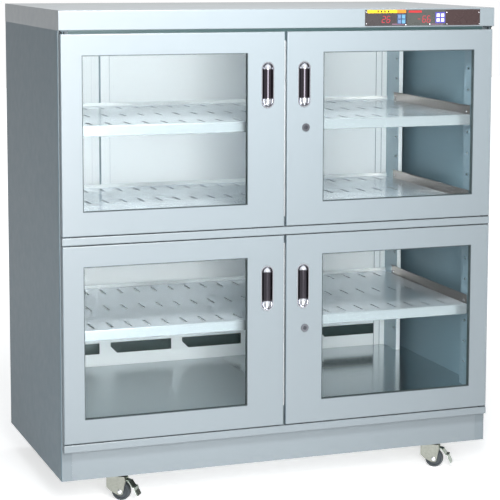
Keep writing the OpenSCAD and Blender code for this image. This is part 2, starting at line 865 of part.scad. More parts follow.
// Shutter that hangs from its pin in front of the case's port
module dryer_flap() {
    color("gray") placed() {
        box([-flap_half, flap_y + 0.7, flap_low], [flap_half, dryer_front - seam, flap_pin_z]);
        translate([-flap_half - 4.5, flap_y, flap_pin_z]) rotate([0, 90, 0])
            cylinder(r = 2, h = 2 * flap_half + 9, $fn = 32);
    }
}

inlet_x = -320;
inlet_z = 60;

module inlet_hole() {
    box([inlet_x - 14.5, back_y - 1, inlet_z - 11], [inlet_x + 14.5, back_y + sheet + 1, inlet_z + 11]);
}

// Three-pin appliance inlet in the foot of the back panel
module power_inlet() {
    color("dimgray") placed() translate([inlet_x, back_y, inlet_z]) {
        difference() {
            union() {
                box([-24, sheet, -13], [24, 2 * sheet, 13]);
                box([-14, -18, -10.5], [14, sheet + eps, 10.5]);
            }
            box([-12, -15, -8], [12, 2 * sheet + 1, 8]);
        }
        for (pin = [[-7, -1], [0, 3], [7, -1]])
            box([pin[0] - 1, -16, pin[1] - 2], [pin[0] + 1, 0, pin[1] + 2]);
    }
}

// ---------------------------------------------------------------- indicators

// Plate with its housing behind the cover, a shallow display window and pockets for its keys
module indicator(x, w, keys, key_size, window_to) {
    front = -door_stand - plate_proud;
    low = plate_z - plate_h / 2;
    difference() {
        union() {
            box([x, front, low], [x + w - plate_gap, -door_stand, low + plate_h]);
            box([x + housing_in, -door_stand - eps, low + 3.5],
                [x + w - plate_gap - housing_in, -door_stand + housing_d, low + plate_h - 3.5]);
        }
        box([x + 9, front - 1, low + 6], [x + window_to, front + 0.8, low + plate_h - 10]);
        for (at = keys) translate([x + at[0], front, plate_z + at[1]])
            box([-key_size[0] / 2 - key_gap, -1, -key_size[1] / 2 - key_gap],
                [key_size[0] / 2 + key_gap, key_l + key_travel, key_size[1] / 2 + key_gap]);
    }
}

module indicator_plates() {
    low = plate_z - plate_h / 2;
    color("dimgray") placed() {
        indicator(temp_x, temp_w, temp_key_at, temp_key, temp_window);
        indicator(humid_x, humid_w, humid_key_at, humid_key, humid_window);
        box([plate_right - blank_w, -door_stand - plate_proud, low], [plate_right, -door_stand, low + plate_h]);
    }
}

module key(x, at, size) {
    color("aliceblue") placed() translate([x + at[0], -door_stand - plate_proud, plate_z + at[1]])
        box([-size[0] / 2, -key_proud, -size[1] / 2], [size[0] / 2, key_l - key_proud, size[1] / 2]);
}

module temp_key(i) {
    key(temp_x, temp_key_at[i - 1], temp_key);
}

module humid_key(i) {
    key(humid_x, humid_key_at[i - 1], humid_key);
}

// ---------------------------------------------------------------- casters

// Fixed half of a caster, drawn from the plinth's lower edge down: plate, race and king pin
module caster_plate() {
    translate([0, 0, -plate_t]) difference() {
        linear_extrude(plate_t) offset(r = 4, $fn = 32) square(plate_size - [8, 8], center = true);
        for (x = [-0.5, 0.5], y = [-0.5, 0.5]) translate([x * plate_holes[0], y * plate_holes[1], -1])
            cylinder(d = 6.5, h = plate_t + 2, $fn = 24);
    }
    translate([0, 0, -plate_t - race_h]) cylinder(r1 = 15, r2 = 20, h = race_h, $fn = 64);
    translate([0, 0, -plate_t - race_h - fork_t - 2 * seam - 1])
        cylinder(r = axle_r, h = race_h + fork_t + 3, $fn = 48);
    translate([0, 0, -plate_t - race_h - fork_t - 2 * seam - 3]) cylinder(r = axle_r + 3, h = 3, $fn = 48);
}

module at_caster(side, y) {
    translate([side * (half_w - caster_in), front_y + y, 0]) rotate([0, 0, caster_turn]) children();
}

// Outline of a fork cheek in its own x-z plane, with a round foot about the axle
module cheek_outline() {
    polygon([[-16, fork_top], [16, fork_top], [pedal_x + 6, pedal_z + 5], [pedal_x + 6, pedal_z - 5],
        [trail + 8, wheel_r], [trail - 8, wheel_r], [-12, pedal_z - 4]]);
    translate([trail, wheel_r]) circle(r = 8, $fn = 48);
}

// Swivelling fork with its axle
module caster_fork(side, y, braked) {
    color("silver") at_caster(side, y) {
        difference() {
            union() {
                translate([0, 0, fork_top - fork_t]) cylinder(r = 20, h = fork_t, $fn = 64);
                for (s = [0, 1]) mirror([0, s, 0]) difference() {
                    upright_plate(cheek_in, cheek_t) cheek_outline();
                    if (braked) {
                        translate([pedal_x, 0, pedal_z]) rotate([-90, 0, 0])
                            cylinder(r = 2 + run_gap, h = 30, $fn = 32);
                    }
                }
            }
            cylinder(r = axle_r + run_gap, h = caster_h, $fn = 48);
        }
        translate([trail, -cheek_in - cheek_t - 1.5, wheel_r]) rotate([-90, 0, 0])
            cylinder(r = axle_r, h = 2 * (cheek_in + cheek_t + 1.5), $fn = 48);
    }
}

// Wheel turned from one profile: rounded tread, dished sides and a hub
module caster_wheel(side, y) {
    half = wheel_w / 2;
    hub = cheek_in - seam;
    color("darkslategray") at_caster(side, y) translate([trail, 0, wheel_r]) rotate([90, 0, 0])
        rotate_extrude($fn = 96) polygon([[axle_r + run_gap, -hub], [axle_r + 3, -hub], [axle_r + 5, -half + 3],
            [wheel_r - 7, -half + 3], [wheel_r - 5, -half], [wheel_r - 2, -half], [wheel_r - 0.5, -half + 2],
            [wheel_r, -half + 5], [wheel_r, half - 5], [wheel_r - 0.5, half - 2], [wheel_r - 2, half],
            [wheel_r - 5, half], [wheel_r - 7, half - 3], [axle_r + 5, half - 3], [axle_r + 3, hub],
            [axle_r + run_gap, hub]]);
}

// Bent brake pedal with its cross pin in the cheeks
module brake_pedal(side) {
    tread = 28;
    ears = 2 * cheek_in - 1;
    color("gainsboro") at_caster(side, caster_front) translate([pedal_x, 0, pedal_z]) {
        upright_plate(-ears / 2, ears) {
            circle(r = 3.6, $fn = 32);
            polygon([[-3, 0], [3, 0], [1.6, -5.7], [-0.9, -5.7]]);
            polygon([[0, 1], [12, 0.6], [17, -2], [15, -4], [11, -2], [0, -1.6]]);
        }
        upright_plate(-tread / 2, tread)
            polygon([[15, -0.9], [17, -2], [26, -15], [33, -16], [34, -24], [41, -38], [38.6, -39],
                [31.6, -25], [30.8, -18.2], [24.6, -17.2], [14.6, -3.6]]);
        rotate([-90, 0, 0]) translate([0, 0, -cheek_in - cheek_t])
            cylinder(r = 2, h = 2 * (cheek_in + cheek_t), $fn = 32);
    }
}

rear_y = body_d - caster_back;

side_panel(LEFT);  // side_panel_left
side_panel(RIGHT);  // side_panel_right
back_panel();
rear_liner();
top_deck();
top_cover();
floor_panel();
caster_mounts();
kick_plate();
front_rails();
centre_posts();
uprights();
shelf_brackets();
shelf(upper_step);  // shelf_upper
shelf(middle_step);  // shelf_middle
shelf(0);  // shelf_lower
hinge_plates();
dryer_case();
desiccant_block();
dryer_flap();
power_inlet();
indicator_plates();
temp_key(1);  // temp_key_1
temp_key(2);  // temp_key_2
temp_key(3);  // temp_key_3
temp_key(4);  // temp_key_4
humid_key(1);  // humid_key_1
humid_key(2);  // humid_key_2
humid_key(3);  // humid_key_3
humid_key(4);  // humid_key_4
door_frame(LEFT, UPPER);  // door_frame_ul
door_frame(RIGHT, UPPER);  // door_frame_ur
door_frame(LEFT, LOWER);  // door_frame_ll
door_frame(RIGHT, LOWER);  // door_frame_lr
door_glass(LEFT, UPPER);  // door_glass_ul
door_glass(RIGHT, UPPER);  // door_glass_ur
door_glass(LEFT, LOWER);  // door_glass_ll
door_glass(RIGHT, LOWER);  // door_glass_lr
door_seal(LEFT, UPPER);  // door_seal_ul
door_seal(RIGHT, UPPER);  // door_seal_ur
door_seal(LEFT, LOWER);  // door_seal_ll
door_seal(RIGHT, LOWER);  // door_seal_lr
door_pull(LEFT, UPPER);  // door_pull_ul
door_pull(RIGHT, UPPER);  // door_pull_ur
door_pull(LEFT, LOWER);  // door_pull_ll
door_pull(RIGHT, LOWER);  // door_pull_lr
lock_barrel(UPPER);  // lock_barrel_upper
lock_barrel(LOWER);  // lock_barrel_lower
lock_plug(UPPER);  // lock_plug_upper
lock_plug(LOWER);  // lock_plug_lower
caster_fork(LEFT, caster_front, true);  // caster_fork_fl
caster_fork(RIGHT, caster_front, true);  // caster_fork_fr
caster_fork(LEFT, rear_y, false);  // caster_fork_rl
caster_fork(RIGHT, rear_y, false);  // caster_fork_rr
caster_wheel(LEFT, caster_front);  // caster_wheel_fl
caster_wheel(RIGHT, caster_front);  // caster_wheel_fr
caster_wheel(LEFT, rear_y);  // caster_wheel_rl
caster_wheel(RIGHT, rear_y);  // caster_wheel_rr
brake_pedal(LEFT);  // brake_pedal_left
brake_pedal(RIGHT);  // brake_pedal_right
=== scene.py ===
# %% [markdown]
# A desiccator cabinet keeps lab samples dry behind glazed doors. What is left for
# Blender is finish and the fittings too small for the frame, such as screw heads and
# the figures on the displays.

# %% Load the frame
import math
import bmesh
import bpy
from mathutils import Matrix, Vector


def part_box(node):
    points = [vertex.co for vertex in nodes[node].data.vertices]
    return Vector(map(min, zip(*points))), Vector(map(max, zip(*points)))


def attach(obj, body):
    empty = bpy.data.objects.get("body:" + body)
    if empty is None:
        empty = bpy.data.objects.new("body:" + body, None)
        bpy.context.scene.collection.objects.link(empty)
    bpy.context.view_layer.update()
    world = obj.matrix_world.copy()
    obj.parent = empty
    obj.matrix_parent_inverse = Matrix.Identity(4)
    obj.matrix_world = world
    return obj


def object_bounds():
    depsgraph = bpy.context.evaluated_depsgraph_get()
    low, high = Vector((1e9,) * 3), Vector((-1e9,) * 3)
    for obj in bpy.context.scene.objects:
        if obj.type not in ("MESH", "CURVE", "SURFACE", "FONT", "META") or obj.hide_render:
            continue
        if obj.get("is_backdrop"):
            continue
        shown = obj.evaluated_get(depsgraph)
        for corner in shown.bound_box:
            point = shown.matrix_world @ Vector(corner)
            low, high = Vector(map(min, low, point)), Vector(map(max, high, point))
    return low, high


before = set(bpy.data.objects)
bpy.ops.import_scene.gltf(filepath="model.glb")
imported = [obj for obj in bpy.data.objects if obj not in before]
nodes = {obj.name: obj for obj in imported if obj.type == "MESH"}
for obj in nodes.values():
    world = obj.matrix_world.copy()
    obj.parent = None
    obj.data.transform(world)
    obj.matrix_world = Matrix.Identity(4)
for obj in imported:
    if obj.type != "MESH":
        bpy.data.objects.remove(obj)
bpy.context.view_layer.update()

# %% [markdown]
# A colour picked from a swatch is display-referred, but shaders want scene-linear
# values, so one helper turns the first into the second. Writing swatch values keeps the
# numbers readable.

# %% Colour helper
def linear(r, g, b):
    def one(v):
        v = v / 255
        return v / 12.92 if v <= 0.04045 else ((v + 0.055) / 1.055) ** 2.4
    return (one(r), one(g), one(b), 1.0)


print("mid grey in scene-linear values:", [round(v, 3) for v in linear(128, 128, 128)])

# %% [markdown]
# Node trees are wired in code here rather than by hand, so that every value can be read.
# Small helpers keep that short: one opens a group with named inputs, one adds a node
# with its values, and two do sums and mixes.

# %% Helpers for node trees
def new_group(name, inputs, outputs):
    tree = bpy.data.node_groups.new(name, "ShaderNodeTree")
    for label, kind, default in inputs:
        socket = tree.interface.new_socket(name=label, in_out="INPUT", socket_type=kind)
        if default is not None:
            socket.default_value = default
    for label, kind in outputs:
        tree.interface.new_socket(name=label, in_out="OUTPUT", socket_type=kind)
    return tree, tree.nodes.new("NodeGroupInput"), tree.nodes.new("NodeGroupOutput")


def add(tree, kind, **values):
    node = tree.nodes.new(kind)
    for key, value in values.items():
        if hasattr(node, key):
            setattr(node, key, value)
        else:
            node.inputs[key.replace("_", " ")].default_value = value
    return node


def math_node(tree, operation, first, second=None):
    node = add(tree, "ShaderNodeMath", operation=operation)
    for socket, value in zip(node.inputs, (first, second)):
        if isinstance(value, (int, float)):
            socket.default_value = value
        elif value is not None:
            tree.links.new(value, socket)
    return node.outputs[0]


def mix_colour(tree, factor, first, second):
    node = add(tree, "ShaderNodeMix", data_type="RGBA", blend_type="MIX")
    for socket, value in zip((node.inputs[0], node.inputs[6], node.inputs[7]), (factor, first, second)):
        if hasattr(value, "is_linked"):
            tree.links.new(value, socket)
        else:
            socket.default_value = value
    return node.outputs[2]


print("helpers ready:", new_group.__name__, add.__name__, math_node.__name__, mix_colour.__name__)

# %% [markdown]
# Two effects are used by several finishes, so each is a shader node group built once.
# "Coat mottle" is what sprayed powder or lacquer does: a slow drift in tone, fine orange
# peel and a faint film of dust. Noise can be used at any size and has no seams. A group
# holds only colours, masks and normals, while the shader stays in the material, so each
# finish still picks its own gloss.

# %% The coat mottle group
mottle, group_in, group_out = new_group(
    "coat mottle",
    [("Colour", "NodeSocketColor", (0.8, 0.8, 0.8, 1)), ("Drift", "NodeSocketFloat", 0.03),
     ("Peel", "NodeSocketFloat", 0.05), ("Gloss", "NodeSocketFloat", 0.3)],
    [("Colour", "NodeSocketColor"), ("Roughness", "NodeSocketFloat"), ("Normal", "NodeSocketVector")])
place = add(mottle, "ShaderNodeTexCoord")
slow = add(mottle, "ShaderNodeTexNoise", Scale=2.3, Detail=3.0)
fine = add(mottle, "ShaderNodeTexNoise", Scale=900.0, Detail=2.0)
film = add(mottle, "ShaderNodeTexNoise", Scale=38.0, Detail=5.0)
for noise in (slow, fine, film):
    mottle.links.new(place.outputs["Object"], noise.inputs["Vector"])
centred = math_node(mottle, "SUBTRACT", slow.outputs[0], 0.5)
shade = math_node(mottle, "ADD", math_node(mottle, "MULTIPLY", centred, group_in.outputs["Drift"]), 1.0)
tint = add(mottle, "ShaderNodeVectorMath", operation="SCALE")
mottle.links.new(group_in.outputs["Colour"], tint.inputs[0])
mottle.links.new(shade, tint.inputs["Scale"])
mottle.links.new(tint.outputs[0], group_out.inputs["Colour"])
rough = math_node(mottle, "ADD", group_in.outputs["Gloss"],
                  math_node(mottle, "MULTIPLY", math_node(mottle, "SUBTRACT", film.outputs[0], 0.5), 0.12))
mottle.links.new(rough, group_out.inputs["Roughness"])
peel = add(mottle, "ShaderNodeBump", Distance=0.0002)
mottle.links.new(fine.outputs[0], peel.inputs["Height"])
mottle.links.new(group_in.outputs["Peel"], peel.inputs["Strength"])
mottle.links.new(peel.outputs[0], group_out.inputs["Normal"])
print("built group:", mottle.name)

# %% [markdown]
# "Rolled grain" is the directional streak that the mill leaves in sheet metal. One noise
# is stretched along the sheet and gives the tone, the gloss and a slight ridge together,
# since on real sheet all three come from the same fine scratches.

# %% The rolled grain group
grain, group_in, group_out = new_group(
    "rolled grain",
    [("Light", "NodeSocketColor", (0.8, 0.8, 0.8, 1)), ("Dark", "NodeSocketColor", (0.5, 0.5, 0.5, 1)),
     ("Stretch", "NodeSocketVector", (2.0, 60.0, 60.0)), ("Gloss", "NodeSocketFloat", 0.25),
     ("Depth", "NodeSocketFloat", 0.1)],
    [("Colour", "NodeSocketColor"), ("Roughness", "NodeSocketFloat"), ("Normal", "NodeSocketVector")])
place = add(grain, "ShaderNodeTexCoord")
along = add(grain, "ShaderNodeVectorMath", operation="MULTIPLY")
grain.links.new(place.outputs["Object"], along.inputs[0])
grain.links.new(group_in.outputs["Stretch"], along.inputs[1])
streak = add(grain, "ShaderNodeTexNoise", Scale=6.0, Detail=6.0, Roughness=0.65)
grain.links.new(along.outputs[0], streak.inputs["Vector"])
grain.links.new(mix_colour(grain, streak.outputs[0], group_in.outputs["Dark"], group_in.outputs["Light"]),
                group_out.inputs["Colour"])
rough = math_node(grain, "ADD", group_in.outputs["Gloss"],
                  math_node(grain, "MULTIPLY", math_node(grain, "SUBTRACT", streak.outputs[0], 0.5), 0.18))
grain.links.new(rough, group_out.inputs["Roughness"])
ridge = add(grain, "ShaderNodeBump", Distance=0.0001)
grain.links.new(streak.outputs[0], ridge.inputs["Height"])
grain.links.new(group_in.outputs["Depth"], ridge.inputs["Strength"])
grain.links.new(ridge.outputs[0], group_out.inputs["Normal"])
print("built group:", grain.name)


# %% [markdown]
# Each finish is then short: a material places one group, gives it this finish's values
# and feeds the Principled shader. Metal and coat values that are the same all over the
# surface are set straight on the shader. Where one sheet has two tones, a mask picks
# between them: by a place along an axis, or by the way the surface faces.

# %% Finish makers
def finish_material(name, group, values, metallic=0.0, **shader_values):
    material = bpy.data.materials.new(name)
    material.use_nodes = True
    tree = material.node_tree
    shader = tree.nodes["Principled BSDF"]
    shader.inputs["Metallic"].default_value = metallic
    for key, value in shader_values.items():
        shader.inputs[key.replace("_", " ")].default_value = value
    placed_group = add(tree, "ShaderNodeGroup")
    placed_group.node_tree = group
    for key, value in values.items():
        placed_group.inputs[key].default_value = value
    tree.links.new(placed_group.outputs["Colour"], shader.inputs["Base Color"])
    tree.links.new(placed_group.outputs["Roughness"], shader.inputs["Roughness"])
    tree.links.new(placed_group.outputs["Normal"], shader.inputs["Normal"])
    return material


def coated(name, colour, gloss=0.3, drift=0.03, peel=0.05, **shader_values):
    return finish_material(name, mottle, {"Colour": colour, "Drift": drift, "Peel": peel, "Gloss": gloss},
                           **shader_values)


def metal(name, light, dark, stretch=(2, 60, 60), gloss=0.25, depth=0.1, **shader_values):
    return finish_material(name, grain, {"Light": light, "Dark": dark, "Stretch": stretch, "Gloss": gloss,
                                         "Depth": depth}, metallic=1.0, **shader_values)


def zones(material, axis, low, high, stops, fold=False, smooth=False):
    """Bands of colour along one axis of the piece: stops are (place in metres, colour)."""
    tree = material.node_tree
    place = add(tree, "ShaderNodeTexCoord")
    split = add(tree, "ShaderNodeSeparateXYZ")
    tree.links.new(place.outputs["Object"], split.inputs[0])
    value = split.outputs["XYZ".index(axis)]
    if fold:
        value = math_node(tree, "ABSOLUTE", value)
    span = add(tree, "ShaderNodeMapRange", From_Min=low, From_Max=high)
    tree.links.new(value, span.inputs["Value"])
    ramp = add(tree, "ShaderNodeValToRGB")
    ramp.color_ramp.interpolation = "EASE" if smooth else "CONSTANT"
    while len(ramp.color_ramp.elements) < len(stops):
        ramp.color_ramp.elements.new(0.5)
    for element, (at, colour) in zip(ramp.color_ramp.elements, stops):
        element.position, element.color = (at - low) / (high - low), colour
    tree.links.new(span.outputs["Result"], ramp.inputs[0])
    return ramp.outputs[0]


def faces_mask(material, axis, signed=False):
    """1 where a surface faces along one axis, from the face's own normal, and 0 elsewhere."""
    tree = material.node_tree
    geometry = add(tree, "ShaderNodeNewGeometry")
    split = add(tree, "ShaderNodeSeparateXYZ")
    tree.links.new(geometry.outputs["True Normal"], split.inputs[0])
    value = split.outputs["XYZ".index(axis)]
    if not signed:
        value = math_node(tree, "ABSOLUTE", value)
    return math_node(tree, "GREATER_THAN", value, 0.5)


def group_of(material):
    return next(n for n in material.node_tree.nodes if n.type == "GROUP")


def feed(material, label, value):
    """Links a value into one named input of the finish's group."""
    material.node_tree.links.new(value, group_of(material).inputs[label])


def colour_by(material, mask, where_off, where_on):
    """Feeds a finish with one colour or the other, as the mask says."""
    feed(material, "Colour", mix_colour(material.node_tree, mask, where_off, where_on))


def dress(material, *names):
    for name in names:
        for place in nodes[name].material_slots:
            place.material = material


def nodes_called(start):
    return [name for name in nodes if name.startswith(start)]


print("finish makers ready:", coated.__name__, metal.__name__)

# %% [markdown]
# The body is powder coated, and its sheets are painted in two tones by the way each face
# points: a mid blue-grey on the sides and back, and a pale ice blue on everything that
# faces the user. The blue-grey is painted shade, a darker copy of the paint for faces
# turned away from the lamps. Both are dielectric paint with a light clear gloss, so the
# sheets pick up soft gradients from the lamps. A folded sheet shows its paint on both
# faces, so the inner faces and the returns get tones of their own: painted shade on the
# side panels' inner faces, on the back panel's inner face and on the sideways faces of the
# front pieces, and the lit front tone on the side panels' front returns.

# %% Body paints
# The side tones are painted shade: darkest on the outer faces, a little lighter on the inner faces, while
# faces that point to the front keep the lit front tone.
painted_shade_outside, painted_shade_inside = linear(79, 101, 112), linear(108, 131, 141)
front_tone, liner_tone = linear(118, 127, 132), linear(242, 244, 245)
flange_side, skin_side = 0.55, 0.5994  # from the middle plane: inside the flange, just inside the skin
side_paint = coated("side paint", painted_shade_outside, gloss=0.42, drift=0.05, Specular_IOR_Level=0.22)
bands = zones(side_paint, "X", flange_side, 0.61,
              [(flange_side, painted_shade_inside), (skin_side, painted_shade_outside)], fold=True)
colour_by(side_paint, faces_mask(side_paint, "X"), front_tone, bands)
# The back panel's inner face, seen through the vents, is painted near black as painted shade.
painted_shade_back_inside, painted_shade_side_faces = linear(44, 62, 62), linear(96, 110, 118)
back_paint = coated("back paint", painted_shade_outside, gloss=0.45, drift=0.05)
colour_by(back_paint, faces_mask(back_paint, "Y", signed=True), painted_shade_back_inside, painted_shade_outside)
front_paint = coated("front paint", front_tone, gloss=0.34, drift=0.04, Coat_Weight=0.2, Coat_Roughness=0.25)
# Faces of the front pieces that point sideways get a darker tone, which is painted shade.
colour_by(front_paint, faces_mask(front_paint, "X"), front_tone, painted_shade_side_faces)
dress(side_paint, "side_panel_left", "side_panel_right")
dress(back_paint, "back_panel")
dress(front_paint, "top_cover", "kick_plate", "front_rails", *nodes_called("door_frame"))
print("pale front paint on", len(nodes_called("door_frame")), "doors, cover, rails and kick plate")

# %% [markdown]
# Inside, the sheets are near white. The slotted uprights have folded edges and a web
# that is painted darker than their faces as painted shade, less dark on the rear uprights.
# Bands by the distance from the middle plane draw the folds as painted shadow lines, since
# a fold of a millimetre is easier to see as a line than as a bend.

# %% Inner paints
liner_paint = coated("liner paint", liner_tone, gloss=0.35, drift=0.03)
upright_paint = coated("upright paint", liner_tone, gloss=0.35, drift=0.03)
# The web tones are painted shade, and the line tone is a painted shadow along each fold.
painted_shade_web, painted_shade_rear_web, painted_shadow_line = linear(104, 124, 134), linear(150, 168, 176), linear(92, 104, 112)
fold_shadows = ((0.5216, 0.5232, painted_shadow_line), (0.5405, 0.5417, painted_shadow_line), (0.5574, 0.5596, painted_shade_web))
fold_stops = [(0.50, liner_tone)]
for start, end, tone in fold_shadows:
    fold_stops += [(start, tone), (end, liner_tone)]
painted_fold_shadows = zones(upright_paint, "X", 0.50, 0.60, fold_stops, fold=True)
painted_web_shade = zones(upright_paint, "Y", -0.4, 0.4, [(-0.4, painted_shade_web), (0.0, painted_shade_rear_web)])
colour_by(upright_paint, faces_mask(upright_paint, "X"), painted_fold_shadows, painted_web_shade)
deck_paint = coated("deck paint", liner_tone, gloss=0.4, drift=0.03)
# The deck's edges that face front and back get a dark teal, which is painted shade.
colour_by(deck_paint, faces_mask(deck_paint, "Y"), liner_tone, linear(70, 98, 100))
dress(deck_paint, "top_deck")
dress(liner_paint, "rear_liner", "centre_posts")
dress(upright_paint, "uprights")
print("fold lines on the uprights:", len(fold_shadows))

# %% [markdown]
# The shelves and the floor panel are bright rolled sheet, and the casters, brackets and
# locks are plated steel. A plain metal colour would do, but the rolled grain gives sheet
# its long streaks and, unstretched, the cloudy tone of plating. The shelf is set as only
# part metal, so that it stays pale where it would mirror a dark part of the room.

# %% Metals
even_grain = (30, 30, 30)
shelf_steel = metal("shelf steel", linear(224, 230, 234), linear(212, 219, 225), stretch=(2, 160, 160),
                    gloss=0.22, depth=0.008)
shelf_steel.node_tree.nodes["Principled BSDF"].inputs["Metallic"].default_value = 0.55
floor_steel = metal("floor steel", linear(206, 212, 214), linear(186, 193, 196), gloss=0.1, depth=0.03)
zinc = metal("zinc plate", linear(158, 160, 152), linear(118, 120, 112), even_grain, gloss=0.3, depth=0.2)
bracket_steel = metal("bracket steel", linear(150, 142, 138), linear(112, 104, 102), stretch=(30, 2, 30),
                      gloss=0.34, depth=0.2)
# The hinge plates get a near-black steel tone as painted shade for the gap they sit in.
hinge_shade_steel = metal("hinge steel", linear(62, 70, 74), linear(44, 50, 54), even_grain, gloss=0.4)
lock_steel = metal("lock steel", linear(104, 106, 112), linear(62, 64, 70), stretch=(40, 40, 40),
                   gloss=0.18, depth=0.1)
barrel_steel = metal("barrel steel", linear(128, 130, 136), linear(96, 98, 104), stretch=(40, 40, 40),
                     gloss=0.14)
pedal_steel = metal("pedal plate", linear(160, 170, 158), linear(104, 114, 106), stretch=(40, 40, 40),
                    gloss=0.24, depth=0.25)
dress(bracket_steel, "shelf_brackets")
dress(hinge_shade_steel, "hinge_plates")
dress(zinc, "caster_mounts", *nodes_called("caster_fork"))
dress(barrel_steel, *nodes_called("lock_barrel"))
dress(lock_steel, *nodes_called("lock_plug"))
dress(pedal_steel, "brake_pedal_left", "brake_pedal_right")
print("plated:", len(nodes_called("caster_fork")), "forks,", len(nodes_called("lock_")), "lock pieces")

# %% [markdown]
# A shelf's folded lip and the upstand at its rear catch the light differently from its
# top, so their colour is painted: painted shade darkens the front lip and a painted
# highlight brightens the rear upstand. The floor panel is duller on its left half than on
# its right. Masks and bands feed the same finish, which is simpler than cutting the sheets
# into pieces.

# %% Shelf and floor tones
lip = faces_mask(shelf_steel, "Y")
# The lip tone is painted shade and the upstand tone a painted highlight.
painted_shade_lip, painted_highlight_upstand = linear(162, 170, 174), linear(250, 252, 253)
painted_lip_and_upstand = zones(shelf_steel, "Y", -0.4, 0.4, [(-0.4, painted_shade_lip), (0.0, painted_highlight_upstand)])
for shade in ("Light", "Dark"):
    top_tone = group_of(shelf_steel).inputs[shade].default_value[:]
    feed(shelf_steel, shade, mix_colour(shelf_steel.node_tree, lip, top_tone, painted_lip_and_upstand))
dress(shelf_steel, "shelf_upper", "shelf_middle", "shelf_lower")
dull_side, polished_side = (0.34, 0.34, 0.34, 1), (0.15, 0.15, 0.15, 1)
gloss = zones(floor_steel, "X", -0.1, 0.1, [(0.0, dull_side), (0.06, polished_side)], smooth=True)
feed(floor_steel, "Gloss", gloss)
dress(floor_steel, "floor_panel")
print("shelf lips and upstands toned, floor gloss from", dull_side[0], "to", polished_side[0])

# %% [markdown]
# A flush pull is a plated pressing with a trough between two bright rounded ends. The
# trough's dark colour is painted reflection and shade: it stands in for the dark that the
# deep recess mirrors. The trough could be its own material on its own faces. Here one band
# along the pull's height paints it dark and a second, by depth behind the door's face,
# keeps the rim bright, so the pull stays one mesh with one finish.

# %% Pulls
trough_reach, upper_fade, lower_fade, band_reach = 0.039, 0.003, 0.004, 0.07
rim_end, trough_start = 0.0012, 0.0032
# The dark tone is painted reflection and shade for the pull's trough.
pull_chrome, bright, painted_trough_dark = linear(190, 192, 196), linear(176, 178, 184), linear(58, 55, 60)
black, white = (0, 0, 0, 1), (1, 1, 1, 1)
for row in "ul":
    low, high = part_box("door_pull_%sl" % row)
    middle = (low.z + high.z) / 2
    pull_metal = metal("pull chrome " + row, pull_chrome, pull_chrome, stretch=(20, 20, 20), gloss=0.16,
                       depth=0.02)
    painted_trough_shade = zones(pull_metal, "Z", middle - band_reach, middle + band_reach,
                   [(middle - trough_reach, bright), (middle - trough_reach + lower_fade, painted_trough_dark),
                    (middle + trough_reach, painted_trough_dark), (middle + trough_reach + upper_fade, bright)], smooth=True)
    depth = zones(pull_metal, "Y", low.y, high.y, [(low.y + rim_end, black), (low.y + trough_start, white)],
                  smooth=True)
    shade = mix_colour(pull_metal.node_tree, depth, bright, painted_trough_shade)
    feed(pull_metal, "Light", shade)
    feed(pull_metal, "Dark", shade)
    dress(pull_metal, "door_pull_%sl" % row, "door_pull_%sr" % row)
print("pulls:", [round(v, 4) for v in low], [round(v, 4) for v in high])

# %% [markdown]
# The rest of the frame is dielectric: rubber seals and tyres, a painted drying unit with
# its block of beads, and a dark plastic module at the front of the cover. They share the
# coat mottle, with more drift and peel where the real stuff is rougher. The module's
# three plates differ a little in tone, which bands along its length can say.

# %% Plastics, rubber and the drying unit
dryer_paint = coated("dryer paint", linear(190, 194, 196), gloss=0.45)
desiccant = coated("desiccant bead", linear(206, 184, 150), gloss=0.85, drift=0.4, peel=0.8)
seal_rubber = coated("seal rubber", linear(46, 58, 60), gloss=0.6, drift=0.2, peel=0.2)
tyre_rubber = coated("tyre rubber", linear(52, 58, 62), gloss=0.5, drift=0.2, peel=0.3)
plates_low, plates_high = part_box("indicator_plates")
left_end, mid_height = plates_low.x, (plates_low.z + plates_high.z) / 2
second_plate, third_plate = 0.1198, 0.2318
panel_plastic = coated("panel plastic", linear(52, 50, 50), gloss=0.28, drift=0.1)
plate_bands = zones(panel_plastic, "X", plates_low.x, plates_high.x,
                    [(plates_low.x, linear(50, 46, 47)), (left_end + second_plate, linear(60, 62, 60)),
                     (left_end + third_plate, linear(48, 34, 34))])
feed(panel_plastic, "Colour", plate_bands)
dress(dryer_paint, "dryer_case", "dryer_flap")
dress(desiccant, "desiccant_block")
dress(panel_plastic, "indicator_plates", "power_inlet")
dress(seal_rubber, *nodes_called("door_seal"))
dress(tyre_rubber, *nodes_called("caster_wheel"))
print("rubber:", len(nodes_called("door_seal")), "seals and", len(nodes_called("caster_wheel")), "wheels")

# %% [markdown]
# The panes are clear sheet glass. True refraction in a pane behind which everything is
# lit from outside would cost many light bounces and leave the shelves dark. A Light Path
# switch lets shadow and diffuse rays straight through, while the eye still gets the
# pane's tint and its faint reflection.

# %% Glass
glass = bpy.data.materials.new("window glass")
glass.use_nodes = True
tree = glass.node_tree
pane = tree.nodes["Principled BSDF"]
pane.inputs["Base Color"].default_value = (0.93, 0.98, 0.98, 1)
pane.inputs["Roughness"].default_value = 0.0
pane.inputs["IOR"].default_value = 1.08
pane.inputs["Transmission Weight"].default_value = 1.0
clear = add(tree, "ShaderNodeBsdfTransparent")
path = add(tree, "ShaderNodeLightPath")
through = math_node(tree, "MAXIMUM", path.outputs["Is Shadow Ray"], path.outputs["Is Diffuse Ray"])
switch = add(tree, "ShaderNodeMixShader")
tree.links.new(through, switch.inputs[0])
tree.links.new(pane.outputs[0], switch.inputs[1])
tree.links.new(clear.outputs[0], switch.inputs[2])
tree.links.new(switch.outputs[0], tree.nodes["Material Output"].inputs["Surface"])
dress(glass, *nodes_called("door_glass"))
print("panes:", len(nodes_called("door_glass")))

# %% [markdown]
# The figures on the two displays are seven-segment lamps under a dark window, so each
# digit is built from the same seven bars: six-sided bars with pointed ends, leaned a few
# degrees as real ones are. A font would be quicker but would not have these bars. A table
# says which bars each figure lights.

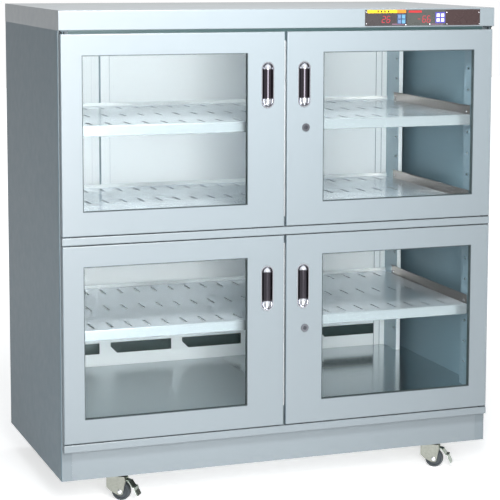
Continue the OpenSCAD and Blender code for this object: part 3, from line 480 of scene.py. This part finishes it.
# %% Display figures
def new_piece(name, mesh_data, material, body="cabinet"):
    piece = bpy.data.objects.new(name, mesh_data)
    bpy.context.scene.collection.objects.link(piece)
    mesh_data.materials.clear()
    mesh_data.materials.append(material)
    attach(piece, body)
    return piece


def plate_outline(bm, points, front, thickness):
    """A thin plate in the x-z plane, facing the front, from outline points listed anticlockwise."""
    near = [bm.verts.new((x, front, z)) for x, z in points]
    far = [bm.verts.new((x, front + thickness, z)) for x, z in points]
    bm.faces.new(near)
    bm.faces.new(far[::-1])
    for i in range(len(points)):
        j = (i + 1) % len(points)
        bm.faces.new((near[j], near[i], far[i], far[j]))


def finish_mesh(bm, name):
    bmesh.ops.recalc_face_normals(bm, faces=bm.faces)
    mesh_data = bpy.data.meshes.new(name)
    bm.to_mesh(mesh_data)
    bm.free()
    return mesh_data


def piece_from(name, vertices, faces, material, body):
    """A closed piece from its corners and faces, with every face turned to face out."""
    bm = bmesh.new()
    corners = [bm.verts.new(corner) for corner in vertices]
    for face in faces:
        bm.faces.new([corners[i] for i in face])
    return new_piece(name, finish_mesh(bm, name), material, body)


bar_half, bar_gap, lean, figure_thick = 0.0008, 0.0004, 0.12, 0.0003
figure_width, figure_height, figure_step, figure_drop = 0.0085, 0.0165, 0.0135, 0.0125
lit_bars = {"2": "abged", "6": "afgedc"}
bar_ends = {"a": ((0, 2), (1, 2)), "b": ((1, 2), (1, 1)), "c": ((1, 1), (1, 0)), "d": ((0, 0), (1, 0)),
            "e": ((0, 1), (0, 0)), "f": ((0, 2), (0, 1)), "g": ((0, 1), (1, 1))}


def digit(bm, figure, left, bottom, front):
    for bar in lit_bars[figure]:
        a, b = [Vector((left + x * figure_width, bottom + z * figure_height / 2)) for x, z in bar_ends[bar]]
        along = (b - a).normalized()
        side = Vector((-along.y, along.x)) * bar_half
        a, b = a + along * bar_gap, b - along * bar_gap
        points = [a, a + along * bar_half - side, b - along * bar_half - side, b,
                  b - along * bar_half + side, a + along * bar_half + side]
        plate_outline(bm, [(p.x + lean * (p.y - bottom), p.y) for p in points], front, figure_thick)


panel_front, window_depth = plates_low.y, 0.0008
figure_front = panel_front + window_depth - figure_thick
bm = bmesh.new()
for figures, left in (("26", left_end + 0.048), ("66", left_end + 0.165)):
    for i, figure in enumerate(figures):
        digit(bm, figure, left + i * figure_step, mid_height - figure_drop, figure_front)
x, z, dash_width, dash_height = left_end + 0.152, mid_height - 0.0045, 0.007, 0.0014
plate_outline(bm, [(x, z), (x + dash_width, z), (x + dash_width, z + dash_height), (x, z + dash_height)],
              figure_front, figure_thick)
lamp_red = coated("lamp red", linear(150, 36, 48), gloss=0.4, drift=0.3, Emission_Color=linear(200, 40, 52),
                  Emission_Strength=0.18)
new_piece("display_figures", finish_mesh(bm, "display_figures"), lamp_red)
print("lit bars:", sum(len(lit_bars[f]) for f in "2666"))

# %% [markdown]
# Around the figures each module has printed films: a yellow and orange status strip with
# four dark lamps, a red strip, and two faint strips and a small mark at the foot. Print
# could be drawn by bands in the plastic's own finish. Thin plates are simpler to place
# and change, so each film is one, a tenth of a millimetre thick and with cut corners.

# %% Printed films
film_thick, lamp_thick, cut_corner = 0.00012, 0.0001, 0.0004


def film_piece(name, boxes, material, front=panel_front, thickness=film_thick, corner=cut_corner):
    """Thin plates from boxes (x0, z0, x1, z1), measured from the module's left end and middle height."""
    bm = bmesh.new()
    for x0, z0, x1, z1 in boxes:
        x0, x1, z0, z1 = left_end + x0, left_end + x1, mid_height + z0, mid_height + z1
        plate_outline(bm, [(x0 + corner, z0), (x1 - corner, z0), (x1, z0 + corner), (x1, z1 - corner),
                           (x1 - corner, z1), (x0 + corner, z1), (x0, z1 - corner), (x0, z0 + corner)],
                      front - thickness, thickness)
    return new_piece(name, finish_mesh(bm, name), material)


yellow, orange, orange_start = linear(214, 172, 30), linear(206, 112, 34), 0.0905
status_film = coated("status film", yellow, gloss=0.35, drift=0.1)
feed(status_film, "Colour", zones(status_film, "X", left_end, left_end + 0.12,
                                  [(left_end, yellow), (left_end + orange_start, orange)]))
film_piece("status_strip", [(0.006, 0.0125, 0.117, 0.0207)], status_film)
dark_film = coated("dark lamp film", linear(44, 40, 30), gloss=0.2, drift=0.1)
lamp_half, lamp_places = 0.0021, (0.0365, 0.0461, 0.0559, 0.0665)
film_piece("status_lamps", [(x - lamp_half, 0.0139, x + lamp_half, 0.0193) for x in lamp_places],
           dark_film, front=panel_front - film_thick, thickness=lamp_thick)
film_piece("alarm_strip", [(0.1248, 0.013, 0.163, 0.0188)],
           coated("alarm film", linear(150, 36, 40), drift=0.2))
film_piece("foot_strips", [(0.077, -0.0182, 0.113, -0.0158), (0.19, -0.0188, 0.226, -0.017)],
           coated("foot film", linear(112, 84, 104), drift=0.3))
film_piece("foot_mark", [(0.1857, -0.0198, 0.1877, -0.0158)], coated("mark film", linear(214, 214, 216)))
print("films placed in front of", round(panel_front, 4))


# %% [markdown]
# Each group of keys stands in a printed field with a hole for every key, because the keys
# travel through it. A Boolean could punch the holes. Strips laid round the keys' own
# boxes leave the same holes without one, and follow the keys if they are moved.

# %% Key fields
key_gap, square_corner = 0.0003, 0.00002


def field_boxes(margin_x, margin_z, keys):
    """Strips that fill a field round the keys' boxes and leave a hole for every key."""
    boxes = [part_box(k) for k in keys]
    across = [(a.x - left_end, b.x - left_end) for a, b in boxes]
    upward = [(a.z - mid_height, b.z - mid_height) for a, b in boxes]
    x0, x1 = min(a for a, b in across) - margin_x, max(b for a, b in across) + margin_x
    z0, z1 = min(a for a, b in upward) - margin_z, max(b for a, b in upward) + margin_z
    columns = sorted({(round(a - key_gap, 5), round(b + key_gap, 5)) for a, b in across})
    rows = sorted({(round(a - key_gap, 5), round(b + key_gap, 5)) for a, b in upward})
    strips, x = [], x0
    for a, b in columns + [(x1, x1)]:
        strips.append((x, z0, a, z1))
        x = b
    for a, b in columns:
        z = z0
        for c, d in rows + [(z1, z1)]:
            strips.append((a, z, b, c))
            z = d
    return strips


temp_keys, humid_keys = ["temp_key_%d" % i for i in range(1, 5)], ["humid_key_%d" % i for i in range(1, 5)]
film_piece("temp_key_field", field_boxes(0.0022, 0.0014, temp_keys),
           coated("temp key film", linear(40, 60, 86), drift=0.15), corner=square_corner)
film_piece("humid_key_field", field_boxes(0.0036, 0.0038, humid_keys),
           coated("humid key film", linear(66, 62, 142), drift=0.15), corner=square_corner)
dress(coated("lilac key", linear(84, 104, 136), gloss=0.3, drift=0.1), *temp_keys[0::2])
dress(coated("blue key", linear(84, 128, 152), gloss=0.3, drift=0.1), *temp_keys[1::2])
dress(coated("white key", linear(206, 206, 226), gloss=0.3, drift=0.1), *humid_keys)
temp_low, temp_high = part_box("temp_key_1")
print("a temperature key's sides:", [round(v, 4) for v in temp_high - temp_low])

# %% [markdown]
# Fittings that repeat are made by Geometry Nodes trees. Each has named inputs and ends
# the same way: a copy of one shape on every point, turned into real mesh, with its
# material. So the opening and the ending are written once, as two helpers.

# %% Helpers for geometry trees
def new_tree(name, inputs):
    """A tree with named inputs. Gives the tree, its input node and the identifier of each input."""
    tree = bpy.data.node_groups.new(name, "GeometryNodeTree")
    tree.is_modifier = True
    sockets = {}
    for label, kind in [("Geometry", "NodeSocketGeometry")] + inputs + [("Material", "NodeSocketMaterial")]:
        sockets[label] = tree.interface.new_socket(name=label, in_out="INPUT", socket_type=kind).identifier
    tree.interface.new_socket(name="Geometry", in_out="OUTPUT", socket_type="NodeSocketGeometry")
    return tree, tree.nodes.new("NodeGroupInput"), sockets


def set_on_points(tree, tree_in, shape, turn=None):
    """Ends a tree: a copy of the shape on every point, made real and given its material."""
    spread = tree.nodes.new("GeometryNodeInstanceOnPoints")
    tree.links.new(tree_in.outputs["Geometry"], spread.inputs["Points"])
    tree.links.new(shape, spread.inputs["Instance"])
    if turn:
        tree.links.new(turn, spread.inputs["Rotation"])
    real = tree.nodes.new("GeometryNodeRealizeInstances")
    tree.links.new(spread.outputs["Instances"], real.inputs["Geometry"])
    paint = tree.nodes.new("GeometryNodeSetMaterial")
    tree.links.new(real.outputs["Geometry"], paint.inputs["Geometry"])
    tree.links.new(tree_in.outputs["Material"], paint.inputs["Material"])
    tree.links.new(paint.outputs["Geometry"], tree.nodes.new("NodeGroupOutput").inputs["Geometry"])
    print("tree ready:", tree.name, len(tree.nodes), "nodes")


# %% [markdown]
# Screws repeat all over a cabinet, and one could be modelled by hand and copied. A tree
# makes heads of any size instead: it flattens a ball into a domed head and cuts the cross
# recess with a Boolean. The head's radius, its height and its turn are named inputs.

# %% The screw tree
screw_tree, tree_in, screw_sockets = new_tree(
    "screw heads",
    [("Radius", "NodeSocketFloat"), ("Height", "NodeSocketFloat"), ("Turn", "NodeSocketVector")])
link = screw_tree.links.new
ball = add(screw_tree, "GeometryNodeMeshUVSphere", Segments=20, Rings=10)
link(tree_in.outputs["Radius"], ball.inputs["Radius"])
squash = add(screw_tree, "ShaderNodeCombineXYZ", X=1.0, Y=1.0)
flatness = math_node(screw_tree, "DIVIDE", tree_in.outputs["Height"], tree_in.outputs["Radius"])
link(flatness, squash.inputs["Z"])
dome = screw_tree.nodes.new("GeometryNodeTransform")
link(ball.outputs["Mesh"], dome.inputs["Geometry"])
link(squash.outputs[0], dome.inputs["Scale"])
cross = screw_tree.nodes.new("GeometryNodeJoinGeometry")
blade_length, blade_width = 1.3, 0.28  # in head radii
for long_side, short_side in (("X", "Y"), ("Y", "X")):
    size = screw_tree.nodes.new("ShaderNodeCombineXYZ")
    for side, share in ((long_side, blade_length), (short_side, blade_width)):
        link(math_node(screw_tree, "MULTIPLY", tree_in.outputs["Radius"], share), size.inputs[side])
    link(tree_in.outputs["Height"], size.inputs["Z"])
    blade = screw_tree.nodes.new("GeometryNodeMeshCube")
    link(size.outputs[0], blade.inputs["Size"])
    lift = screw_tree.nodes.new("GeometryNodeTransform")
    rise = screw_tree.nodes.new("ShaderNodeCombineXYZ")
    link(tree_in.outputs["Height"], rise.inputs["Z"])
    link(rise.outputs[0], lift.inputs["Translation"])
    link(blade.outputs["Mesh"], lift.inputs["Geometry"])
    link(lift.outputs["Geometry"], cross.inputs["Geometry"])
cut = add(screw_tree, "GeometryNodeMeshBoolean", operation="DIFFERENCE")
link(dome.outputs["Geometry"], cut.inputs["Mesh 1"])
link(cross.outputs["Geometry"], cut.inputs["Mesh 2"])
set_on_points(screw_tree, tree_in, cut.outputs["Mesh"], tree_in.outputs["Turn"])

# %% [markdown]
# A modifier stays live in Blender, but a library part has to be plain mesh. So each tree
# is run once on a cloud of points, and the mesh that it makes is kept in its place.

# %% Baking a tree
def baked(name, points, tree, sockets, values, material, body):
    """Runs a tree on a cloud of points and keeps what it makes as a plain mesh."""
    cloud = bpy.data.meshes.new(name + "_points")
    cloud.from_pydata(points, [], [])
    holder = bpy.data.objects.new(name + "_points", cloud)
    bpy.context.scene.collection.objects.link(holder)
    modifier = holder.modifiers.new(name, "NODES")
    modifier.node_group = tree
    for label, value in values.items():
        modifier[sockets[label]] = value
    modifier[sockets["Material"]] = material
    bpy.context.view_layer.update()
    graph = bpy.context.evaluated_depsgraph_get()
    made = bpy.data.meshes.new_from_object(holder.evaluated_get(graph), depsgraph=graph)
    bpy.data.objects.remove(holder)
    print(name, len(points), "places", len(made.polygons), "faces")
    return new_piece(name, made, material, body)


# %% [markdown]
# Small screws hold the display plates, larger ones the shelf brackets. The tree makes
# both from a list of places. The brackets' heights come from the shelves' own boxes, so
# those screws follow if a shelf is moved up or down.

# %% Screws placed
def screws(name, points, radius, height, turn, material, body="cabinet"):
    return baked(name, points, screw_tree, screw_sockets, {"Radius": radius, "Height": height, "Turn": turn},
                 material, body)


screw_steel = metal("screw steel", linear(226, 226, 230), linear(190, 192, 198), stretch=(90, 90, 90),
                    gloss=0.25)
quarter = math.pi / 2
to_front, to_left, to_right = (quarter, 0, 0), (0, -quarter, 0), (0, quarter, 0)
panel_screw_places = ((0.0030, 0.0152), (0.0033, -0.0150), (0.1172, -0.0190), (0.2372, 0.0133),
                      (0.2376, -0.0176), (0.3330, 0.0124), (0.3334, -0.0180))
screws("panel_screws", [(left_end + x, panel_front, mid_height + z) for x, z in panel_screw_places],
       0.0016, 0.00045, to_front, screw_steel)
upstand = 0.010
shelf_tops = [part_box("shelf_" + name)[1].z - upstand for name in ("lower", "middle", "upper")]
bracket_side, bracket_ends, bracket_rise = 0.554, (-0.251, 0.2259), 0.0065
for side, side_name, turn in ((-1, "left", to_right), (1, "right", to_left)):
    screws("bracket_screws_" + side_name,
           [(side * bracket_side, y, z + bracket_rise) for z in shelf_tops for y in bracket_ends],
           0.003, 0.0013, turn, screw_steel)

# %% [markdown]
# Each slot punched through a shelf gets a dark ring, which is painted shade: it stands in
# for the dark inside of the slot. It could be a bevel on the shelf itself, but the frame's
# meshes are never changed. It is a flat ring in the slot's own outline, made once in a tree
# and set on every slot, with the slot's length and width and the ring's width as named
# inputs.

# %% The slot edge tree
edge_tree, tree_in, edge_sockets = new_tree(
    "slot edges",
    [("Length", "NodeSocketFloat"), ("Width", "NodeSocketFloat"), ("Edge", "NodeSocketFloat")])
link = edge_tree.links.new


def stadium_curve(grow):
    """The slot's outline, or the ring's outer one: a rectangle whose ends are filleted round."""
    outline = add(edge_tree, "GeometryNodeCurvePrimitiveQuadrilateral")
    rounded = add(edge_tree, "GeometryNodeFilletCurve", mode="POLY", Count=5)
    width, length = tree_in.outputs["Width"], tree_in.outputs["Length"]
    if grow:
        twice = math_node(edge_tree, "MULTIPLY", tree_in.outputs["Edge"], 2)
        width, length = math_node(edge_tree, "ADD", width, twice), math_node(edge_tree, "ADD", length, twice)
    link(width, outline.inputs["Width"])
    link(length, outline.inputs["Height"])
    link(outline.outputs["Curve"], rounded.inputs["Curve"])
    link(math_node(edge_tree, "MULTIPLY", width, 0.498), rounded.inputs["Radius"])
    return rounded.outputs["Curve"]


both_curves = edge_tree.nodes.new("GeometryNodeJoinGeometry")
link(stadium_curve(False), both_curves.inputs["Geometry"])
link(stadium_curve(True), both_curves.inputs["Geometry"])
fill = add(edge_tree, "GeometryNodeFillCurve", mode="TRIANGLES")
link(both_curves.outputs["Geometry"], fill.inputs["Curve"])
set_on_points(edge_tree, tree_in, fill.outputs["Mesh"])

# %% [markdown]
# The slots stand in three rows at an even pitch from the shelf's middle outwards. The
# rings lie a hair above the sheet, so they never fight with its surface.

# %% Slot edges placed
# The dark metal of these rings is painted shade for the inside of each slot.
slot_shade_metal = metal("slot edge", linear(40, 48, 52), linear(24, 30, 34), stretch=(60, 60, 60), gloss=0.7)
shelf_low, shelf_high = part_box("shelf_lower")
slot_pitch, end_margin, row_share, lift = 0.05, 0.03, 0.4, 0.00008
slot_length, slot_width, edge_width = 0.060, 0.004, 0.0017
columns = math.floor(((shelf_high.x - shelf_low.x) / 2 - end_margin) / slot_pitch)
row_pitch = (shelf_high.y - shelf_low.y) * row_share
middle_y = (shelf_high.y + shelf_low.y) / 2
slots = [(i * slot_pitch, middle_y + row * row_pitch)
         for i in range(-columns, columns + 1) for row in (-1, 0, 1)]
for which, z in zip(("lower", "middle", "upper"), shelf_tops):
    baked("slot_shade_rings_" + which, [(x, y, z + lift) for x, y in slots], edge_tree, edge_sockets,
          {"Length": slot_length, "Width": slot_width, "Edge": edge_width}, slot_shade_metal, "cabinet")

# %% [markdown]
# A dark bead runs round each window, over the joint between the door's sheet and its
# lining. A curve with a profile would do. A ring of mitred strips with a chamfered outer
# edge has far fewer faces, and it rides on its door so that it swings with it.

# %% Window beads
hinge_stile, pull_stile, top_rail, bottom_rail = 0.0555, 0.103, 0.055, 0.062
bead_out, bead_in, bead_proud, bead_chamfer = 0.0016, 0.0004, 0.0005, 0.0003
bead_rubber = coated("window bead", linear(40, 52, 55), gloss=0.6, drift=0.02)


def between_rings(count, ring, onward):
    """The four-sided faces between two rings of corners, each ring with the same count."""
    steps = [(i, (i + 1) % count) for i in range(count)]
    return [(ring * count + i, ring * count + j, onward * count + j, onward * count + i) for i, j in steps]


def window_bead(door):
    low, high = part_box("door_frame_" + door)
    stiles = (hinge_stile, pull_stile) if door[1] == "l" else (pull_stile, hinge_stile)
    x0, x1, z0, z1 = low.x + stiles[0], high.x - stiles[1], low.z + bottom_rail, high.z - top_rail
    rings = ((bead_out, 0.0), (bead_out - bead_chamfer, -bead_proud),
             (-bead_in, -bead_proud), (-bead_in, 0.0))
    vertices = [(x, low.y + forward, z) for grow, forward in rings
                for x, z in ((x0 - grow, z0 - grow), (x1 + grow, z0 - grow), (x1 + grow, z1 + grow),
                             (x0 - grow, z1 + grow))]
    faces = [face for ring in range(4) for face in between_rings(4, ring, (ring + 1) % 4)]
    return piece_from("window_bead_" + door, vertices, faces, bead_rubber, "door_" + door)


beads = [window_bead(door) for door in ("ul", "ur", "ll", "lr")]
print("beads:", [bead.name for bead in beads])

# %% [markdown]
# The front forks have broad pressed skirts over their cheeks. Each could be a flat plate,
# but a perfectly sharp edge catches no light. So it is one outline in the plane of the
# wheel with a chamfer round its outer face, and it turns with its fork.

# %% Fork skirts
axle_turn = math.radians(-35)
wheel_along = Vector((math.cos(axle_turn), math.sin(axle_turn), 0))
wheel_out = Vector((math.sin(axle_turn), -math.cos(axle_turn), 0))
skirt_thick, skirt_chamfer, skirt_stand, skirt_gap = 0.0012, 0.0007, 0.0132, 0.0006
skirt_rear, skirt_front = -0.037, 0.013
skirt_low = [(skirt_rear, 0.010), (-0.026, 0.0), (-0.010, -0.0075), (-0.004, -0.0095), (0.003, -0.0095),
             (0.008, -0.006), (skirt_front, 0.018), (0.015, 0.030)]  # (along, up) from the axle


def skirt_piece(name, middle, top, end, body):
    """A chamfered plate on one cheek; end is 1 on the side that faces out and -1 on the other."""
    outline = [(skirt_rear, top - middle.z)] + skirt_low + [(skirt_front, top - middle.z)]
    count = len(outline)
    centre_x, centre_z = sum(x for x, _ in outline) / count, sum(z for _, z in outline) / count
    vertices = []
    for depth, shrink in ((0.0, 0), (skirt_thick - skirt_chamfer, 0), (skirt_thick, skirt_chamfer)):
        for x, z in outline:
            away = Vector((x - centre_x, 0, z - centre_z)).normalized() * shrink
            in_plane = wheel_along * (x - away.x) + Vector((0, 0, z - away.z))
            vertices.append(middle + in_plane + wheel_out * end * (skirt_stand + depth))
    faces = [tuple(range(count)), tuple(range(2 * count, 3 * count))[::-1]]
    faces += between_rings(count, 1, 0) + between_rings(count, 2, 1)
    return piece_from(name, vertices, faces, zinc, body)


skirts = []
for corner in ("fl", "fr"):
    low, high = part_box("caster_wheel_" + corner)
    fork_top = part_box("caster_fork_" + corner)[1].z
    for end, side_name in ((1, "near"), (-1, "far")):
        skirts.append(skirt_piece("fork_skirt_%s_%s" % (corner, side_name), (low + high) / 2,
                                  fork_top - skirt_gap, end, "caster_fork_" + corner))
print("skirts:", len(skirts))

# %% [markdown]
# Each wheel's axle ends in a domed head on both cheeks. The screw tree makes these too,
# given a larger radius and turned to the axle, so nothing new has to be built.

# %% Axle nuts
nut_stand, nut_radius, nut_height = 0.0145, 0.0062, 0.003
for corner in ("fl", "fr", "rl", "rr"):
    low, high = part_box("caster_wheel_" + corner)
    for end, side_name, half_turn in ((-1, "far", math.pi), (1, "near", 0)):
        at = (low + high) / 2 + wheel_out * (nut_stand * end)
        screws("axle_nut_%s_%s" % (corner, side_name), [tuple(at)], nut_radius, nut_height,
               (quarter, 0, axle_turn + half_turn), screw_steel, "caster_fork_" + corner)

# %% [markdown]
# The room: a pale floor that keeps the cabinet's shadow, a white world for the eye, and
# plain soft lamps. For the eye alone the floor adds a little white of its own, and more
# of it far from the cabinet, so it fades into the backdrop while the shadow stays.

# %% Floor
def seen_by_eye(tree):
    """1 for rays that the eye sees: straight, mirrored or through glass. 0 for the rest."""
    path = add(tree, "ShaderNodeLightPath")
    mirrored = math_node(tree, "MAXIMUM", path.outputs["Is Camera Ray"], path.outputs["Is Glossy Ray"])
    return math_node(tree, "MAXIMUM", mirrored, path.outputs["Is Transmission Ray"])


floor_reach, fade_start, fade_end, near_glow = 14, 1.0, 3.2, 0.62
floor_mesh = bpy.data.meshes.new("studio floor")
floor_corners = [(x * floor_reach, y * floor_reach, 0) for x, y in ((-1, -1), (1, -1), (1, 1), (-1, 1))]
floor_mesh.from_pydata(floor_corners, [], [(0, 1, 2, 3)])
floor = bpy.data.objects.new("studio_floor", floor_mesh)
bpy.context.scene.collection.objects.link(floor)
floor_paint = bpy.data.materials.new("floor paint")
floor_paint.use_nodes = True
tree = floor_paint.node_tree
matt = tree.nodes["Principled BSDF"]
matt.inputs["Base Color"].default_value = (0.86, 0.87, 0.88, 1)
matt.inputs["Roughness"].default_value = 0.9
place = add(tree, "ShaderNodeTexCoord")
distance = add(tree, "ShaderNodeVectorMath", operation="LENGTH")
tree.links.new(place.outputs["Object"], distance.inputs[0])
fade = add(tree, "ShaderNodeMapRange", interpolation_type="SMOOTHSTEP",
           From_Min=fade_start, From_Max=fade_end, To_Min=near_glow, To_Max=1.0)
tree.links.new(distance.outputs["Value"], fade.inputs["Value"])
glow = add(tree, "ShaderNodeEmission", Color=(1, 1, 1, 1))
strength = math_node(tree, "MULTIPLY", fade.outputs["Result"], seen_by_eye(tree))
tree.links.new(strength, glow.inputs["Strength"])
both = add(tree, "ShaderNodeAddShader")
tree.links.new(matt.outputs[0], both.inputs[0])
tree.links.new(glow.outputs[0], both.inputs[1])
tree.links.new(both.outputs[0], tree.nodes["Material Output"].inputs["Surface"])
floor_mesh.materials.append(floor_paint)
floor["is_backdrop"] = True
print("floor glow near the cabinet:", near_glow, "and full beyond", fade_end, "m")

# %% [markdown]
# The key lamp is a tall soft panel in front of the cabinet, left of its middle and level
# with the upper doors. Its light goes straight through the panes to the rear wall and
# falls off over the doors from top left to bottom right, while the left side keeps half
# shade. A small lamp, nearer and higher, lifts the upper left, and a broad weak one
# overhead fills the top.

# %% World and lamps
world = bpy.data.worlds.new("room")
bpy.context.scene.world = world
world.use_nodes = True
sky = world.node_tree
ambient = sky.nodes["Background"]
ambient.inputs["Color"].default_value = (0.90, 0.96, 1.0, 1)
ambient.inputs["Strength"].default_value = 0.16
backdrop = add(sky, "ShaderNodeBackground", Color=(1, 1, 1, 1), Strength=1.0)
choose = add(sky, "ShaderNodeMixShader")
sky.links.new(seen_by_eye(sky), choose.inputs[0])
sky.links.new(ambient.outputs[0], choose.inputs[1])
sky.links.new(backdrop.outputs[0], choose.inputs[2])
sky.links.new(choose.outputs[0], sky.nodes["World Output"].inputs["Surface"])


def lamp(name, place, aim, size, watts, height=None):
    """A soft lamp at a place, turned to its aim: a disk, or a rectangle if it has a height."""
    data = bpy.data.lights.new(name, "AREA")
    data.shape = "RECTANGLE" if height else "DISK"
    data.size, data.energy = size, watts
    if height:
        data.size_y = height
    obj = bpy.data.objects.new(name, data)
    bpy.context.scene.collection.objects.link(obj)
    obj.location = place
    obj.rotation_euler = (Vector(aim) - Vector(place)).to_track_quat("-Z", "Y").to_euler()
    return obj


lamps = [lamp("key lamp", (-0.66, -2.6, 1.05), (-0.1, 0, 0.8), 0.9, 78, height=1.5),
         lamp("upper glow", (-0.15, -1.4, 1.85), (-0.25, -0.3, 1.2), 0.5, 40),
         lamp("top fill", (0, 0.3, 4.2), (0, 0, 0), 2.5, 36)]
print("lamps:", [(one.name, one.data.energy) for one in lamps])

# %% [markdown]
# The camera stands in front and to the left, beyond the cabinet's side and a little
# above its top, and looks down slightly. A long lens keeps the upright edges nearly
# parallel, and a small shift of the lens frames the cabinet without tilting further.

# %% Camera
yaw, pitch, roll = 0.36276, 0.12007, 0.00486
forward = Vector((math.sin(yaw) * math.cos(pitch), math.cos(yaw) * math.cos(pitch), -math.sin(pitch)))
right = Vector((math.cos(yaw), -math.sin(yaw), 0))
up = right.cross(forward)
camera_right = right * math.cos(roll) + up * math.sin(roll)
camera_up = up * math.cos(roll) - right * math.sin(roll)
camera_data = bpy.data.cameras.new("camera")
camera_data.lens, camera_data.sensor_width = 127.97, 36
camera_data.shift_x, camera_data.shift_y = -0.0802, -0.1612
camera = bpy.data.objects.new("camera", camera_data)
bpy.context.scene.collection.objects.link(camera)
turn = Matrix((camera_right, camera_up, -forward)).transposed().to_4x4()
camera.matrix_world = Matrix.Translation((-1.6225, -4.6248, 1.4133)) @ turn
bpy.context.scene.camera = camera
bpy.context.scene.view_settings.view_transform = "Standard"
print("camera at", [round(v, 3) for v in camera.location])

# %% Close
low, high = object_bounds()
